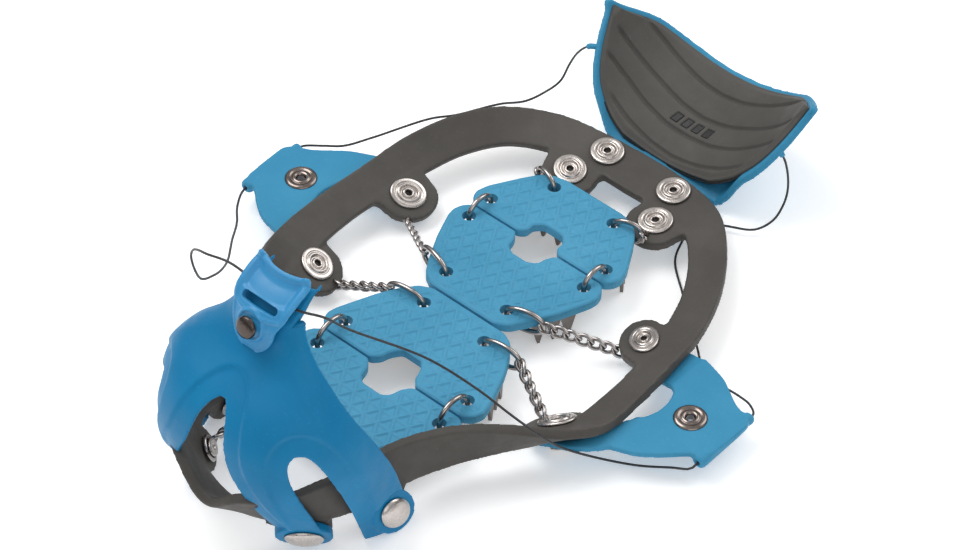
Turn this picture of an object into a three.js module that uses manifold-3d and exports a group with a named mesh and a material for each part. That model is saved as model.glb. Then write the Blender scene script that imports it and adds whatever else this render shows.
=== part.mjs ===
// Lace-and-dial microspikes for one boot, in the loose shape they take off the boot.
// Millimetres, +Z up, toe toward -Y, heel toward +Y, standing on their spikes at z = 0.
import * as THREE from 'three';
import { mergeVertices } from 'three/addons/utils/BufferGeometryUtils.js';
import Module from 'manifold-3d';

const wasm = await Module();
wasm.setup();

// ---------------------------------------------------------------- driving dimensions
const GAP = 0.3;                  // clearance between neighbouring pieces
const BAND_T = 4.2;               // thickness of the elastomer band
const LOBE_R = 12.6;              // radius of a rivet lobe
const TOE_LOBE_R = 10.6;          // radius of a toe lobe and of a hood leg's end
const HOOD_T = 3.8;               // wall of the toe hood
const ARM_T = 2.5;                // wing arm and heel strap thickness
const BAND_LIFT = 1.5;            // height added to every band station
const EYE_T = 1.8;                // flattened chain eye round a rivet
const RIVET_R = 7.4;              // ringed rivet head radius
const SHANK_R = 2.6;              // rivet shank radius
const WIRE_R = 0.85;              // chain wire radius
const RING_WIRE_R = 1.1;          // plate ring wire radius
const LACE_R = 0.5;               // lace radius
const PLATE_T = 4.4;              // sole plate thickness
const PLATE_Z = 13.2;             // underside of the sole plates
const STEEL_T = 1.4;              // spike plate thickness
const CUP_T = 2.6;                // heel shell wall
const PAD_T = 3.0;                // heel pad thickness

// colours
const BLUE = 0x1777b0;
const LIGHT_BLUE = 0x3f9bcb;
const CLIP_BLUE = 0x3a8fd6;
const RUBBER = 0x4b4845;
const NICKEL = 0xb9b2ab;
const GUNMETAL = 0x55504d;
const STEEL = 0x8f8b87;
const SPIKE_STEEL = 0x2a2422;
const PAD_GREY = 0x5f5a55;
const BLACK = 0x161616;

// ---------------------------------------------------------------- helpers
const V = (x, y, z) => new THREE.Vector3(x, y, z);
const X = V(1, 0, 0);
const Y = V(0, 1, 0);
const Z = V(0, 0, 1);
const root = new THREE.Group();
const pieces = [];

function add(name, geometry, color, roughness, metalness) {
  const material = new THREE.MeshStandardMaterial({ color, roughness, metalness });
  const mesh = new THREE.Mesh(geometry, material);
  mesh.name = name;
  root.add(mesh);
  pieces.push(mesh);
  return mesh;
}

function solid(geometry) {
  const bare = geometry.clone();
  bare.deleteAttribute('normal');
  bare.deleteAttribute('uv');
  const merged = mergeVertices(bare, 1e-4);
  return new wasm.Manifold(new wasm.Mesh({
    numProp: 3,
    vertProperties: new Float32Array(merged.attributes.position.array),
    triVerts: new Uint32Array(merged.index.array),
  }));
}

function shape(manifold) {
  const mesh = manifold.getMesh();
  const geometry = new THREE.BufferGeometry();
  geometry.setAttribute('position', new THREE.BufferAttribute(new Float32Array(mesh.vertProperties), 3));
  geometry.setIndex(new THREE.BufferAttribute(new Uint32Array(mesh.triVerts), 1));
  return geometry;
}

// the largest body of a result, with its near-flat triangles merged
function main(manifold, tolerance = 0.05) {
  const largest = (body) => body.decompose().sort((a, b) => b.volume() - a.volume())[0];
  return largest(largest(manifold).asOriginal().simplify(tolerance));
}

function indexed(points, faces) {
  const geometry = new THREE.BufferGeometry();
  const flat = new Float32Array(points.length * 3);
  points.forEach((p, i) => p.toArray(flat, i * 3));
  geometry.setAttribute('position', new THREE.BufferAttribute(flat, 3));
  geometry.setIndex(faces.flat());
  return geometry;
}

// a closed wall between an outer and an inner grid of points
function shell(outer, inner) {
  const rows = outer.length;
  const cols = outer[0].length;
  const points = [...outer.flat(), ...inner.flat()];
  const a = (i, j) => i * cols + j;
  const b = (i, j) => rows * cols + i * cols + j;
  const faces = [];
  const quad = (p, q, r, s) => faces.push([p, q, r], [p, r, s]);
  for (let i = 0; i < rows - 1; i += 1) {
    for (let j = 0; j < cols - 1; j += 1) {
      quad(a(i, j), a(i, j + 1), a(i + 1, j + 1), a(i + 1, j));
      quad(b(i, j), b(i + 1, j), b(i + 1, j + 1), b(i, j + 1));
    }
    quad(a(i, 0), a(i + 1, 0), b(i + 1, 0), b(i, 0));
    quad(a(i, cols - 1), b(i, cols - 1), b(i + 1, cols - 1), a(i + 1, cols - 1));
  }
  for (let j = 0; j < cols - 1; j += 1) {
    quad(a(0, j), b(0, j), b(0, j + 1), a(0, j + 1));
    quad(a(rows - 1, j), a(rows - 1, j + 1), b(rows - 1, j + 1), b(rows - 1, j));
  }
  return indexed(points, faces);
}

function gridNormals(grid) {
  return grid.map((row, i) => row.map((p, j) => {
    const up = grid[Math.min(i + 1, grid.length - 1)][j].clone().sub(grid[Math.max(i - 1, 0)][j]);
    const along = row[Math.min(j + 1, row.length - 1)].clone().sub(row[Math.max(j - 1, 0)]);
    return along.cross(up).normalize();
  }));
}

function offsetGrid(grid, distance) {
  const normals = gridNormals(grid);
  return grid.map((row, i) => row.map((p, j) => p.clone().addScaledVector(normals[i][j], distance)));
}

// turn every face round when a closed body has come out inside-out
function outward(geometry) {
  const position = geometry.attributes.position;
  const index = geometry.index.array;
  const a = V(0, 0, 0);
  const b = V(0, 0, 0);
  const c = V(0, 0, 0);
  let volume = 0;
  for (let i = 0; i < index.length; i += 3) {
    a.fromBufferAttribute(position, index[i]);
    b.fromBufferAttribute(position, index[i + 1]);
    c.fromBufferAttribute(position, index[i + 2]);
    volume += a.dot(b.cross(c));
  }
  if (volume < 0) {
    for (let i = 0; i < index.length; i += 3) [index[i], index[i + 1]] = [index[i + 1], index[i]];
  }
  return geometry;
}

// extrude an outline (list of [x, y]) from z = low to z = high
function plate(outline, low, high, holes = []) {
  const profile = new THREE.Shape(outline.map(([x, y]) => new THREE.Vector2(x, y)));
  holes.forEach((hole) => profile.holes.push(new THREE.Path(hole.map(([x, y]) => new THREE.Vector2(x, y)))));
  const geometry = new THREE.ExtrudeGeometry(profile, { depth: high - low, bevelEnabled: false });
  geometry.translate(0, 0, low);
  return geometry;
}

function circle(x, y, r, n = 10) {
  return Array.from({ length: n }, (_, i) => {
    const angle = (i / n) * Math.PI * 2;
    return [x + r * Math.cos(angle), y + r * Math.sin(angle)];
  });
}

// smooth outline through corner points, n steps a corner
function rounded(corners, steps) {
  const curve = new THREE.CatmullRomCurve3(corners.map(([x, y]) => V(x, y, 0)), true, 'centripetal');
  return curve.getPoints(steps).slice(0, -1).map((p) => [p.x, p.y]);
}

function lathe(profile, segments) {
  const geometry = new THREE.LatheGeometry(profile.map(([r, z]) => new THREE.Vector2(r, z)), segments);
  geometry.rotateX(Math.PI / 2);
  return outward(geometry);
}

function tube(points, radius, sides, steps, closed = false) {
  const section = new THREE.Shape(circle(0, 0, radius, sides).map(([x, y]) => new THREE.Vector2(x, y)));
  const path = points instanceof THREE.Curve ? points : new THREE.CatmullRomCurve3(points, closed, 'centripetal');
  return new THREE.ExtrudeGeometry(section, { extrudePath: path, steps, bevelEnabled: false });
}

// a closed ring of wire: centre, the two axes of its plane, the two radii
function wireRing(centre, ax, ay, ra, rb, wire, sides, segments) {
  const az = ax.clone().cross(ay).normalize();
  const points = [];
  const faces = [];
  for (let i = 0; i < segments; i += 1) {
    const angle = (i / segments) * Math.PI * 2;
    const c = Math.cos(angle);
    const s = Math.sin(angle);
    const radial = ax.clone().multiplyScalar(c / ra).addScaledVector(ay, s / rb).normalize();
    const mid = centre.clone().addScaledVector(ax, ra * c).addScaledVector(ay, rb * s);
    for (let k = 0; k < sides; k += 1) {
      const turn = (k / sides) * Math.PI * 2;
      points.push(mid.clone().addScaledVector(radial, wire * Math.cos(turn)).addScaledVector(az, wire * Math.sin(turn)));
    }
    const next = (i + 1) % segments;
    for (let k = 0; k < sides; k += 1) {
      const up = (k + 1) % sides;
      faces.push([i * sides + k, next * sides + k, next * sides + up]);
      faces.push([i * sides + k, next * sides + up, i * sides + up]);
    }
  }
  return indexed(points, faces);
}

function place(geometry, frame) {
  const matrix = new THREE.Matrix4().makeBasis(frame.t, frame.c, frame.n);
  matrix.setPosition(frame.o);
  return geometry.clone().applyMatrix4(matrix);
}

// ---------------------------------------------------------------- band
// Stations from heel centre to toe centre: inner edge, outer edge of the face that is up
// at the sides and inward at the toe.
const RIGHT = [
  [0, 117, 12.5, 0, 137.5, 13.8],
  [18, 117, 12.5, 20, 136.5, 14.2],
  [34, 114, 12.5, 41, 130, 15],
  [46, 103, 12.5, 58, 113, 15.5],
  [57, 86, 12.5, 71, 92, 16],
  [63, 70, 12.5, 79, 70, 16],
  [67, 52, 12.5, 82, 49, 16.8],
  [70, 30, 12.5, 84, 26, 17],
  [69.5, 8, 12, 84.5, 6, 18.5],
  [64, -11, 11, 78, -10, 23.5],
  [54.5, -26, 9.5, 60, -28, 28],
  [46.5, -41, 9, 47.5, -42, 29.5],
  [41.5, -55, 9.5, 39.5, -57, 30.5],
  [40, -67, 11.5, 36.5, -69, 32],
  [39, -81, 13, 35.5, -84, 34],
  [35, -96, 15.5, 32, -104, 36.5],
  [26, -106.5, 16.5, 26.5, -118, 37],
  [13.5, -113, 14.5, 14, -126, 35],
  [0, -114, 12, 0, -129, 26],
];
const LEFT = [
  [0, 117, 12.5, 0, 137.5, 13.8],
  [-18, 117, 12.5, -20.5, 136.5, 14.4],
  [-38, 114, 12.5, -46, 130, 17],
  [-53, 105, 12.5, -66, 114, 20],
  [-62, 90, 12.5, -76, 96, 21],
  [-66.5, 72, 12.5, -82, 73, 21],
  [-69, 52, 12.5, -84, 50, 20],
  [-71, 30, 12.5, -86, 27, 19],
  [-70, 8, 12, -86, 6, 18.5],
  [-65, -11, 11, -80, -13, 22],
  [-56.5, -28, 9.5, -64, -33, 26],
  [-47.5, -42, 9, -50, -46, 29],
  [-41.5, -55, 9.5, -40, -58, 30.5],
  [-40, -67, 11.5, -36.5, -69, 32],
  [-39, -81, 13, -35.5, -84, 34],
  [-35, -96, 15.5, -32, -104, 36.5],
  [-26, -106.5, 16.5, -26.5, -118, 37],
  [-13.5, -113, 14.5, -14, -126, 35],
  [0, -114, 12, 0, -129, 26],
];
const LOOP = [...RIGHT, ...LEFT.slice(1, -1).reverse()];
const innerEdge = new THREE.CatmullRomCurve3(LOOP.map((s) => V(s[0], s[1], s[2] + BAND_LIFT)), true, 'centripetal');
const outerEdge = new THREE.CatmullRomCurve3(LOOP.map((s) => V(s[3], s[4], s[5] + BAND_LIFT)), true, 'centripetal');

// frame on the band: t along it, c across it outward, n out of its inner face
function bandFrame(u) {
  const a = innerEdge.getPoint(u);
  const b = outerEdge.getPoint(u);
  const step = 0.004;
  const t = innerEdge.getPoint((u + step) % 1).sub(innerEdge.getPoint((u - step + 1) % 1));
  t.add(outerEdge.getPoint((u + step) % 1)).sub(outerEdge.getPoint((u - step + 1) % 1)).normalize();
  const c = b.clone().sub(a).normalize();
  const n = t.clone().cross(c).normalize();
  return { a, b, t, c, n };
}

function bandRing(extra, steps) {
  const points = [];
  for (let i = 0; i < steps; i += 1) {
    const { a, b, c, n } = bandFrame(i / steps);
    const top = extra;
    const low = -BAND_T - extra;
    points.push(a.clone().addScaledVector(n, top).addScaledVector(c, -extra));
    points.push(b.clone().addScaledVector(n, top).addScaledVector(c, extra));
    points.push(b.clone().addScaledVector(n, low).addScaledVector(c, extra));
    points.push(a.clone().addScaledVector(n, low).addScaledVector(c, -extra));
  }
  const faces = [];
  for (let i = 0; i < steps; i += 1) {
    const next = (i + 1) % steps;
    for (let k = 0; k < 4; k += 1) {
      const up = (k + 1) % 4;
      faces.push([i * 4 + k, next * 4 + up, i * 4 + up], [i * 4 + k, next * 4 + k, next * 4 + up]);
    }
  }
  return solid(indexed(points, faces));
}


const STATIONS = 36;
function lobeFrame(station, inset) {
  const f = bandFrame(station / STATIONS);
  return { o: f.a.clone().addScaledVector(f.c, -inset), t: f.t, c: f.c, n: f.n };
}
// point in a frame: along, across, out of the face
function at(frame, t, c, n) {
  return frame.o.clone().addScaledVector(frame.t, t).addScaledVector(frame.c, c).addScaledVector(frame.n, n);
}

const SIDE_LOBES = {
  right_1: lobeFrame(8.42, 3.5),
  right_2: lobeFrame(5.85, 4),
  right_3: lobeFrame(1.35, 6),
  left_1: lobeFrame(27.58, 3.5),
  left_2: lobeFrame(30.15, 4),
  left_3: lobeFrame(34.65, 6),
};
const TOE_LOBES = {
  right_rear: lobeFrame(13.75, 5),
  right_front: lobeFrame(16, 5),
  left_rear: lobeFrame(22.25, 5),
  left_front: lobeFrame(20, 5),
};
const HEEL_SEATS = {
  right: lobeFrame(0.93, -11),
  left: lobeFrame(35.07, -11),
};
const LOBE_T = 4.5;               // lobes are a little thicker than the strip
const LOBE_TOP = 0.25;            // and stand a little proud of it
const HEAD = LOBE_TOP + GAP;      // underside of a rivet's head
const STACK = LOBE_T + GAP + ARM_T + GAP + EYE_T + GAP;
const TOE_OUT = LOBE_T + GAP + HOOD_T;

function lobeDisc(frame, radius) {
  const neck = [[-radius * 0.86, 6], [radius * 0.86, 6], [radius * 0.9, -2], [-radius * 0.9, -2]];
  const disc = solid(place(plate(circle(0, 0, radius, 16), -LOBE_T, LOBE_TOP), frame));
  const stem = solid(place(plate(neck, -LOBE_T, LOBE_TOP), frame));
  return disc.add(stem);
}

// rivets: profiles as [radius, height], the face of the lobe at height 0
function sideRivetProfile(low) {
  return [
    [0, low], [4.6, low], [4.6, low + 0.8], [SHANK_R, low + 0.8], [SHANK_R, HEAD], [RIVET_R, HEAD],
    [6.9, HEAD + 1.4], [5, HEAD + 0.9], [3.8, HEAD + 2], [1.9, HEAD + 2], [1.3, HEAD + 0.4], [0, HEAD + 0.4],
  ];
}
function toeRivetProfile() {
  const out = -TOE_OUT - GAP;
  return [
    [0, out - 2.6], [4.2, out - 2.3], [6.6, out - 1.3], [7.2, out], [SHANK_R, out],
    [SHANK_R, HEAD + EYE_T + GAP], [4.4, HEAD + EYE_T + GAP], [4.4, HEAD + EYE_T + GAP + 0.8],
    [0, HEAD + EYE_T + GAP + 0.8],
  ];
}
const RIVET_SEGMENTS = 12;
function clearance(frame, low, high, radius) {
  const around = radius / Math.cos(Math.PI / RIVET_SEGMENTS);
  return solid(place(plate(circle(0, 0, around, RIVET_SEGMENTS), low, high), frame));
}
const sideLow = -STACK - 0.8;
const heelLow = -BAND_T - 2 * GAP - ARM_T - 0.8 - 0.6;

for (const [side, frame] of Object.entries(SIDE_LOBES)) {
  add(`lobe_rivet_${side}`, place(lathe(sideRivetProfile(sideLow), RIVET_SEGMENTS), frame), NICKEL, 0.28, 0.9);
}
for (const [side, frame] of Object.entries(TOE_LOBES)) {
  add(`toe_rivet_${side}`, place(lathe(toeRivetProfile(), RIVET_SEGMENTS), frame), NICKEL, 0.35, 0.85);
}
for (const [side, frame] of Object.entries(HEEL_SEATS)) {
  add(`heel_rivet_${side}`, place(lathe(sideRivetProfile(heelLow), RIVET_SEGMENTS), frame), NICKEL, 0.28, 0.9);
}

let band = bandRing(0, 48);
for (const frame of Object.values(SIDE_LOBES)) band = band.add(lobeDisc(frame, LOBE_R));
for (const frame of Object.values(TOE_LOBES)) band = band.add(lobeDisc(frame, TOE_LOBE_R));
const shankHole = SHANK_R + 0.3;
for (const frame of [...Object.values(SIDE_LOBES), ...Object.values(TOE_LOBES), ...Object.values(HEEL_SEATS)]) {
  band = band.subtract(clearance(frame, -LOBE_T - 3, 3, shankHole));
}
for (const frame of [...Object.values(SIDE_LOBES), ...Object.values(HEEL_SEATS)]) {
  band = band.subtract(clearance(frame, LOBE_TOP, 6, RIVET_R + GAP));
  band = band.subtract(clearance(frame, -12, -LOBE_T, 5.2));
}

// the band with a clearance all round it, to cut neighbouring pieces with
function bandClear() {
  let body = bandRing(GAP, 48);
  for (const frame of Object.values(SIDE_LOBES)) {
    body = body.add(clearance(frame, -LOBE_T - GAP, LOBE_TOP + GAP, LOBE_R + GAP));
  }
  for (const frame of Object.values(TOE_LOBES)) {
    body = body.add(clearance(frame, -LOBE_T - GAP, LOBE_TOP + GAP, TOE_LOBE_R + GAP));
  }
  return body;
}
const BAND_CLEAR = bandClear();
const FLOOR = 0.2;                // nothing soft reaches below this height
const SOFT = [['band', band, RUBBER]];   // pieces finished once the chains are known

// ---------------------------------------------------------------- side wings
const HINGE_X = 88.4;             // fold line of a wing
const HINGE_Z = 12.5;
const WING_X = 103.5;             // grommet centre
const WING_Y = 33;
const GUIDE_X = 119;
const SWING = 0.1;                // the right wing lies back, the left wing lies forward

// flat strip along a list of [centre, width direction, half width]
function ribbon(stops, thickness, normals) {
  const top = stops.map(([p, w, h], i) => [-1, -0.5, 0.5, 1].map((k) =>
    p.clone().addScaledVector(w, h * k).addScaledVector(normals[i], thickness / 2)));
  const low = stops.map(([p, w, h], i) => [-1, -0.5, 0.5, 1].map((k) =>
    p.clone().addScaledVector(w, h * k).addScaledVector(normals[i], -thickness / 2)));
  let body = solid(shell(top, low));
  if (body.volume() < 0) body = solid(shell(low, top));
  return body;
}

function wingArm(sign, frame, y, half) {
  const n = frame.n;
  const depth = -LOBE_T - GAP - ARM_T / 2;
  const across = V(0, sign > 0 ? -1 : 1, 0);
  const end = V(sign * (HINGE_X - 0.25), y, HINGE_Z);
  const mid = at(frame, 0, 13, depth).lerp(end, 0.15);
  const late = mid.clone().lerp(end, 0.6);
  const arm = ribbon([
    [at(frame, 0, 0, depth), frame.t, 9.6],
    [at(frame, 0, 7, depth), frame.t, 9.4],
    [mid, frame.t.clone().lerp(across, 0.4).normalize(), half],
    [late, across, half],
    [end, across, half],
  ], ARM_T, [n, n, n, n.clone().lerp(V(0, 0, 1), 0.6).normalize(), V(0, 0, 1)]);
  const disc = solid(place(plate(circle(0, 0, 9.8, 14), depth - ARM_T / 2, depth + ARM_T / 2), frame));
  return arm.add(disc).subtract(clearance(frame, -30, 3, shankHole)).subtract(BAND_CLEAR);
}

function wing(sign) {
  const outline = [
    [0, 1.5], [11.5, 5], [19.5, 11], [25, 16.5], [29, 19], [33, 22], [34, 44], [29.5, 48], [24.5, 49],
    [19.5, 53], [11.5, 59], [0, 63.5], [0, 43], [2.2, 38], [3.2, 31.5], [2, 26], [0, 21.5],
  ];
  const lean = (d) => sign * SWING * d * 1.0;
  const points = outline.map(([d, y]) => [sign * (HINGE_X + 0.25 + d), y + lean(d)]);
  let flap = solid(plate(sign > 0 ? points : points.reverse(), HINGE_Z - ARM_T / 2, HINGE_Z + ARM_T / 2));
  const guide = new THREE.CylinderGeometry(3.1, 3.1, 33, 12);
  guide.translate(sign * GUIDE_X, 33.5 + lean(GUIDE_X - HINGE_X), HINGE_Z - 1.7);
  const bore = new THREE.CylinderGeometry(1.1, 1.1, 60, 8);
  bore.translate(sign * GUIDE_X, 33, HINGE_Z - 1.9);
  flap = flap.add(solid(guide)).subtract(solid(bore));
  const y = WING_Y + lean(WING_X - HINGE_X);
  const hole = new THREE.CylinderGeometry(3.6, 3.6, 20, 14);
  hole.rotateX(Math.PI / 2);
  hole.translate(sign * WING_X, y, HINGE_Z);
  return flap.subtract(solid(hole));
}

function grommet(sign) {
  const y = WING_Y + sign * SWING * (WING_X - HINGE_X);
  const half = ARM_T / 2 + GAP;
  const ring = lathe([
    [2, half + 0.4], [3, half + 1.1], [5.2, half + 0.9], [6.85, half + 0.1], [6.85, half], [3.3, half],
    [3.3, -half], [6, -half], [6, -half - 0.6], [2, -half - 0.9], [2, half + 0.4],
  ], 18);
  ring.translate(sign * WING_X, y, HINGE_Z);
  return ring;
}

add('wing_right', shape(main(wing(1))), LIGHT_BLUE, 0.6, 0);
add('wing_left', shape(main(wing(-1))), LIGHT_BLUE, 0.6, 0);
add('wing_grommet_right', grommet(1), GUNMETAL, 0.3, 0.9);
add('wing_grommet_left', grommet(-1), GUNMETAL, 0.3, 0.9);
SOFT.push(['wing_right_arm_front', wingArm(1, SIDE_LOBES.right_1, 11.8, 10), LIGHT_BLUE]);
SOFT.push(['wing_right_arm_rear', wingArm(1, SIDE_LOBES.right_2, 53, 10), LIGHT_BLUE]);
SOFT.push(['wing_left_arm_front', wingArm(-1, SIDE_LOBES.left_1, 11.8, 10), LIGHT_BLUE]);
SOFT.push(['wing_left_arm_rear', wingArm(-1, SIDE_LOBES.left_2, 53, 10), LIGHT_BLUE]);

// ---------------------------------------------------------------- heel strap
const CUP_HINGE_Y = 142.7;
const STRAP_Z = 12.5 + BAND_LIFT - BAND_T - GAP;    // top of the strap under the band
const ROOT_Z = 4.65;              // middle of the strap's rear edge, where the heel shell starts
function heelStrap() {
  const outline = [[-30, 122], [-30, 135], [30, 135], [30, 122], [20, 121], [8, 125], [-8, 125], [-20, 121]];
  let strap = solid(plate(outline.reverse(), STRAP_Z - ARM_T, STRAP_Z));
  const mid = STRAP_Z - ARM_T / 2;
  const ramp = ribbon([
    [V(0, 133, mid), V(-1, 0, 0), 30],
    [V(0, 136, mid - 0.4), V(-1, 0, 0), 30],
    [V(0, 139.5, mid - 2), V(-1, 0, 0), 29.5],
    [V(0, CUP_HINGE_Y - 0.25, ROOT_Z), V(-1, 0, 0), 29],
  ], ARM_T, [Z, Z, V(0, 0.4, 0.92), Z]);
  strap = strap.add(ramp);
  const depth = -LOBE_T - GAP - ARM_T / 2;
  for (const [side, sign] of [['right_3', 1], ['left_3', -1]]) {
    const frame = SIDE_LOBES[side];
    const n = frame.n;
    const across = V(-1, 0, 0);
    const arm = ribbon([
      [at(frame, 0, 0, depth), across, 9.4],
      [at(frame, 0, 6, depth), across, 9.2],
      [V(sign * 22, 125, STRAP_Z - ARM_T / 2), across, 8.8],
      [V(sign * 21, 131, STRAP_Z - ARM_T / 2), across, 8.8],
    ], ARM_T, [n, n, V(0, 0, 1), V(0, 0, 1)]);
    const disc = solid(place(plate(circle(0, 0, 9.8, 14), depth - ARM_T / 2, depth + ARM_T / 2), frame));
    strap = strap.add(arm).add(disc).subtract(clearance(frame, -30, 3, shankHole));
  }
  for (const frame of Object.values(HEEL_SEATS)) strap = strap.subtract(clearance(frame, -30, 3, shankHole));
  for (const frame of Object.values(HEEL_SEATS)) strap = strap.subtract(clearance(frame, -30, heelLow + 0.8 + GAP, 5.2));
  return strap.subtract(BAND_CLEAR);
}
SOFT.push(['heel_strap', heelStrap(), LIGHT_BLUE]);

// ---------------------------------------------------------------- toe hood
// height, half width, front, rear edge, squareness of the section
const HOOD = [
  [1.5, 50.2, -112, -68, 2.5],
  [9, 50, -117, -69, 2.5],
  [17, 49.8, -122.5, -71, 2.5],
  [27, 50, -127.5, -74, 2.5],
  [38, 50.2, -130.5, -78, 2.5],
  [50, 49.5, -131, -83, 2.5],
  [60, 47, -129.5, -87, 2.4],
  [68, 43, -125.5, -90, 2.3],
  [74, 39, -119.5, -91.5, 2.3],
  [79, 34.8, -112, -92, 2.2],
  [84, 29.8, -105, -92, 2.2],
  [90, 24, -100.5, -91.5, 2.2],
  [97, 19, -98, -90, 2.2],
  [102.5, 16.6, -94.5, -87, 2.2],
  [106.5, 15.4, -88.5, -82, 2.2],
  [109.5, 14.8, -82, -76, 2.2],
];
const hoodShape = new THREE.CatmullRomCurve3(HOOD.map(([z, a, f]) => V(a, f, z)), false, 'centripetal');
const hoodRear = new THREE.CatmullRomCurve3(HOOD.map(([z, , , rear, n]) => V(rear, n * 10, z)), false, 'centripetal');
function hoodPoint(side, level) {
  const key = hoodShape.getPoint(level);
  const back = hoodRear.getPoint(level);
  const power = 20 / back.y;
  const angle = side * Math.PI / 2;
  const x = key.x * Math.sign(angle) * Math.abs(Math.sin(angle)) ** power;
  const y = back.x - (back.x - key.y) * Math.abs(Math.cos(angle)) ** power;
  return V(x, y, key.z);
}
function hoodGrid(cols, rows) {
  const grid = [];
  for (let i = 0; i <= rows; i += 1) {
    const fine = Array.from({ length: 121 }, (_, k) => hoodPoint(k / 60 - 1, i / rows));
    const length = [0];
    for (let k = 1; k < fine.length; k += 1) length.push(length[k - 1] + fine[k].distanceTo(fine[k - 1]));
    const row = [];
    for (let j = 0; j <= cols; j += 1) {
      const want = (j / cols) * length[length.length - 1];
      let k = 1;
      while (k < fine.length - 1 && length[k] < want) k += 1;
      const f = (want - length[k - 1]) / (length[k] - length[k - 1]);
      row.push(fine[k - 1].clone().lerp(fine[k], f));
    }
    grid.push(row);
  }
  return grid;
}
const TOE_ARCH = [
  [0, 72.5], [3.5, 70.5], [6.5, 65], [8.5, 58], [11.5, 49], [15.5, 41], [19, 33], [21.5, 24], [22.5, 14], [22.5, 5],
  [20, -8],
];
const SIDE_ARCH = [
  [-57, 62], [-52.5, 61], [-47, 54], [-42, 42], [-38.5, 30], [-35.5, 18], [-33, 6], [-31, -8],
  [-44.5, -8], [-47, 8], [-49.5, 18], [-53, 30], [-57, 42], [-60, 52], [-60, 59],
];
function hood() {
  const outer = hoodGrid(22, 18);
  const inner = offsetGrid(outer, -HOOD_T);
  let body = solid(shell(outer, inner));
  if (body.volume() < 0) {
    body = solid(shell(inner, outer));
  }
  const front = [...TOE_ARCH, ...TOE_ARCH.slice(1).reverse().map(([x, z]) => [-x, z])];
  const cut = plate(front, 0, 60);
  cut.rotateX(Math.PI / 2);
  cut.translate(0, -98, 0);
  body = body.subtract(solid(cut));
  for (const sign of [1, -1]) {
    const side = plate(SIDE_ARCH.map(([d, z]) => [d, z]), 0, 60);
    side.rotateX(Math.PI / 2);
    side.rotateZ(sign > 0 ? Math.PI / 4 : 0);
    if (sign > 0) {
      side.translate(42, -42, 0);
      body = body.subtract(solid(side));
    } else {
      const copy = plate(SIDE_ARCH.map(([d, z]) => [-d, z]), 0, 60);
      copy.rotateX(Math.PI / 2);
      copy.rotateZ(-Math.PI / 4);
      copy.translate(-42, -42, 0);
      body = body.subtract(solid(copy));
    }
  }
  for (const frame of Object.values(TOE_LOBES)) {
    const seat = clearance(frame, -TOE_OUT - 14, -TOE_OUT, TOE_LOBE_R + 0.6);
    const pad = solid(place(plate(circle(0, 0, TOE_LOBE_R, 16), -TOE_OUT, -LOBE_T - GAP), frame));
    const keep = clearance(frame, -LOBE_T - GAP, 16, TOE_LOBE_R + 1.5);
    body = body.subtract(seat).add(pad).subtract(keep).subtract(clearance(frame, -30, 3, shankHole));
  }
  return body.subtract(BAND_CLEAR);
}

// ---------------------------------------------------------------- lace clip on the hood's tongue
// height, reach forward, half width
const CLIP = [
  [88, -103.4, 4],
  [91, -103.5, 7.6],
  [95, -103.1, 9.8],
  [100, -102.4, 10.8],
  [103.5, -100.6, 12.4],
  [107, -98.2, 13.2],
  [110.5, -93.2, 13.4],
  [113.2, -87.4, 13],
  [114.6, -84.6, 11.6],
];
function clipGrid(lift, wider) {
  const grid = CLIP.map(([z, y, half], i) => Array.from({ length: 9 }, (_, j) => {
    const x = (j / 4 - 1) * (half + wider);
    return V(x, y + (x * x) / 40, i === 0 ? z - wider : z);
  }));
  return offsetGrid(grid, lift);
}
function clipBody(extra) {
  const outer = clipGrid(extra, extra * 2);
  const inner = clipGrid(-2.4 - extra, extra * 2);
  let body = solid(shell(outer, inner));
  if (body.volume() < 0) body = solid(shell(inner, outer));
  return body;
}
function lyingCylinder(x, y, z, radius, length, tilt, sides) {
  const geometry = new THREE.CylinderGeometry(radius, radius, length, sides);
  geometry.rotateX(tilt);
  geometry.translate(x, y, z);
  return solid(geometry);
}
function laceClip() {
  const slot = plate(rounded([[-9, -2], [9, -2], [9, 2], [-9, 2]], 12), -14, 14);
  slot.rotateX(0.95);
  slot.translate(0, -97.2, 107.4);
  return clipBody(0)
    .subtract(solid(slot))
    .subtract(lyingCylinder(0, -101, 98.8, 1.9, 12, -0.12, 10))
    .subtract(lyingCylinder(0, -105.7, 99.35, 4.4, 6, -0.12, 14));
}
function clipRivet() {
  const rivet = lathe([
    [0, -4.9], [1.5, -4.9], [1.5, GAP], [4, GAP], [3.6, GAP + 1], [2.2, GAP + 1.7], [0, GAP + 1.9],
  ], 12);
  rivet.rotateX(Math.PI / 2 - 0.12);
  rivet.translate(0, -102.75, 99);
  return rivet;
}
const hoodBody = hood()
  .subtract(clipBody(GAP + 0.25))
  .subtract(lyingCylinder(0, -99, 98.6, 1.9, 14, -0.12, 10));
SOFT.push(['toe_hood', hoodBody, BLUE]);
add('lace_clip', shape(main(laceClip())), CLIP_BLUE, 0.5, 0);
add('clip_rivet', clipRivet(), GUNMETAL, 0.3, 0.9);

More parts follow.
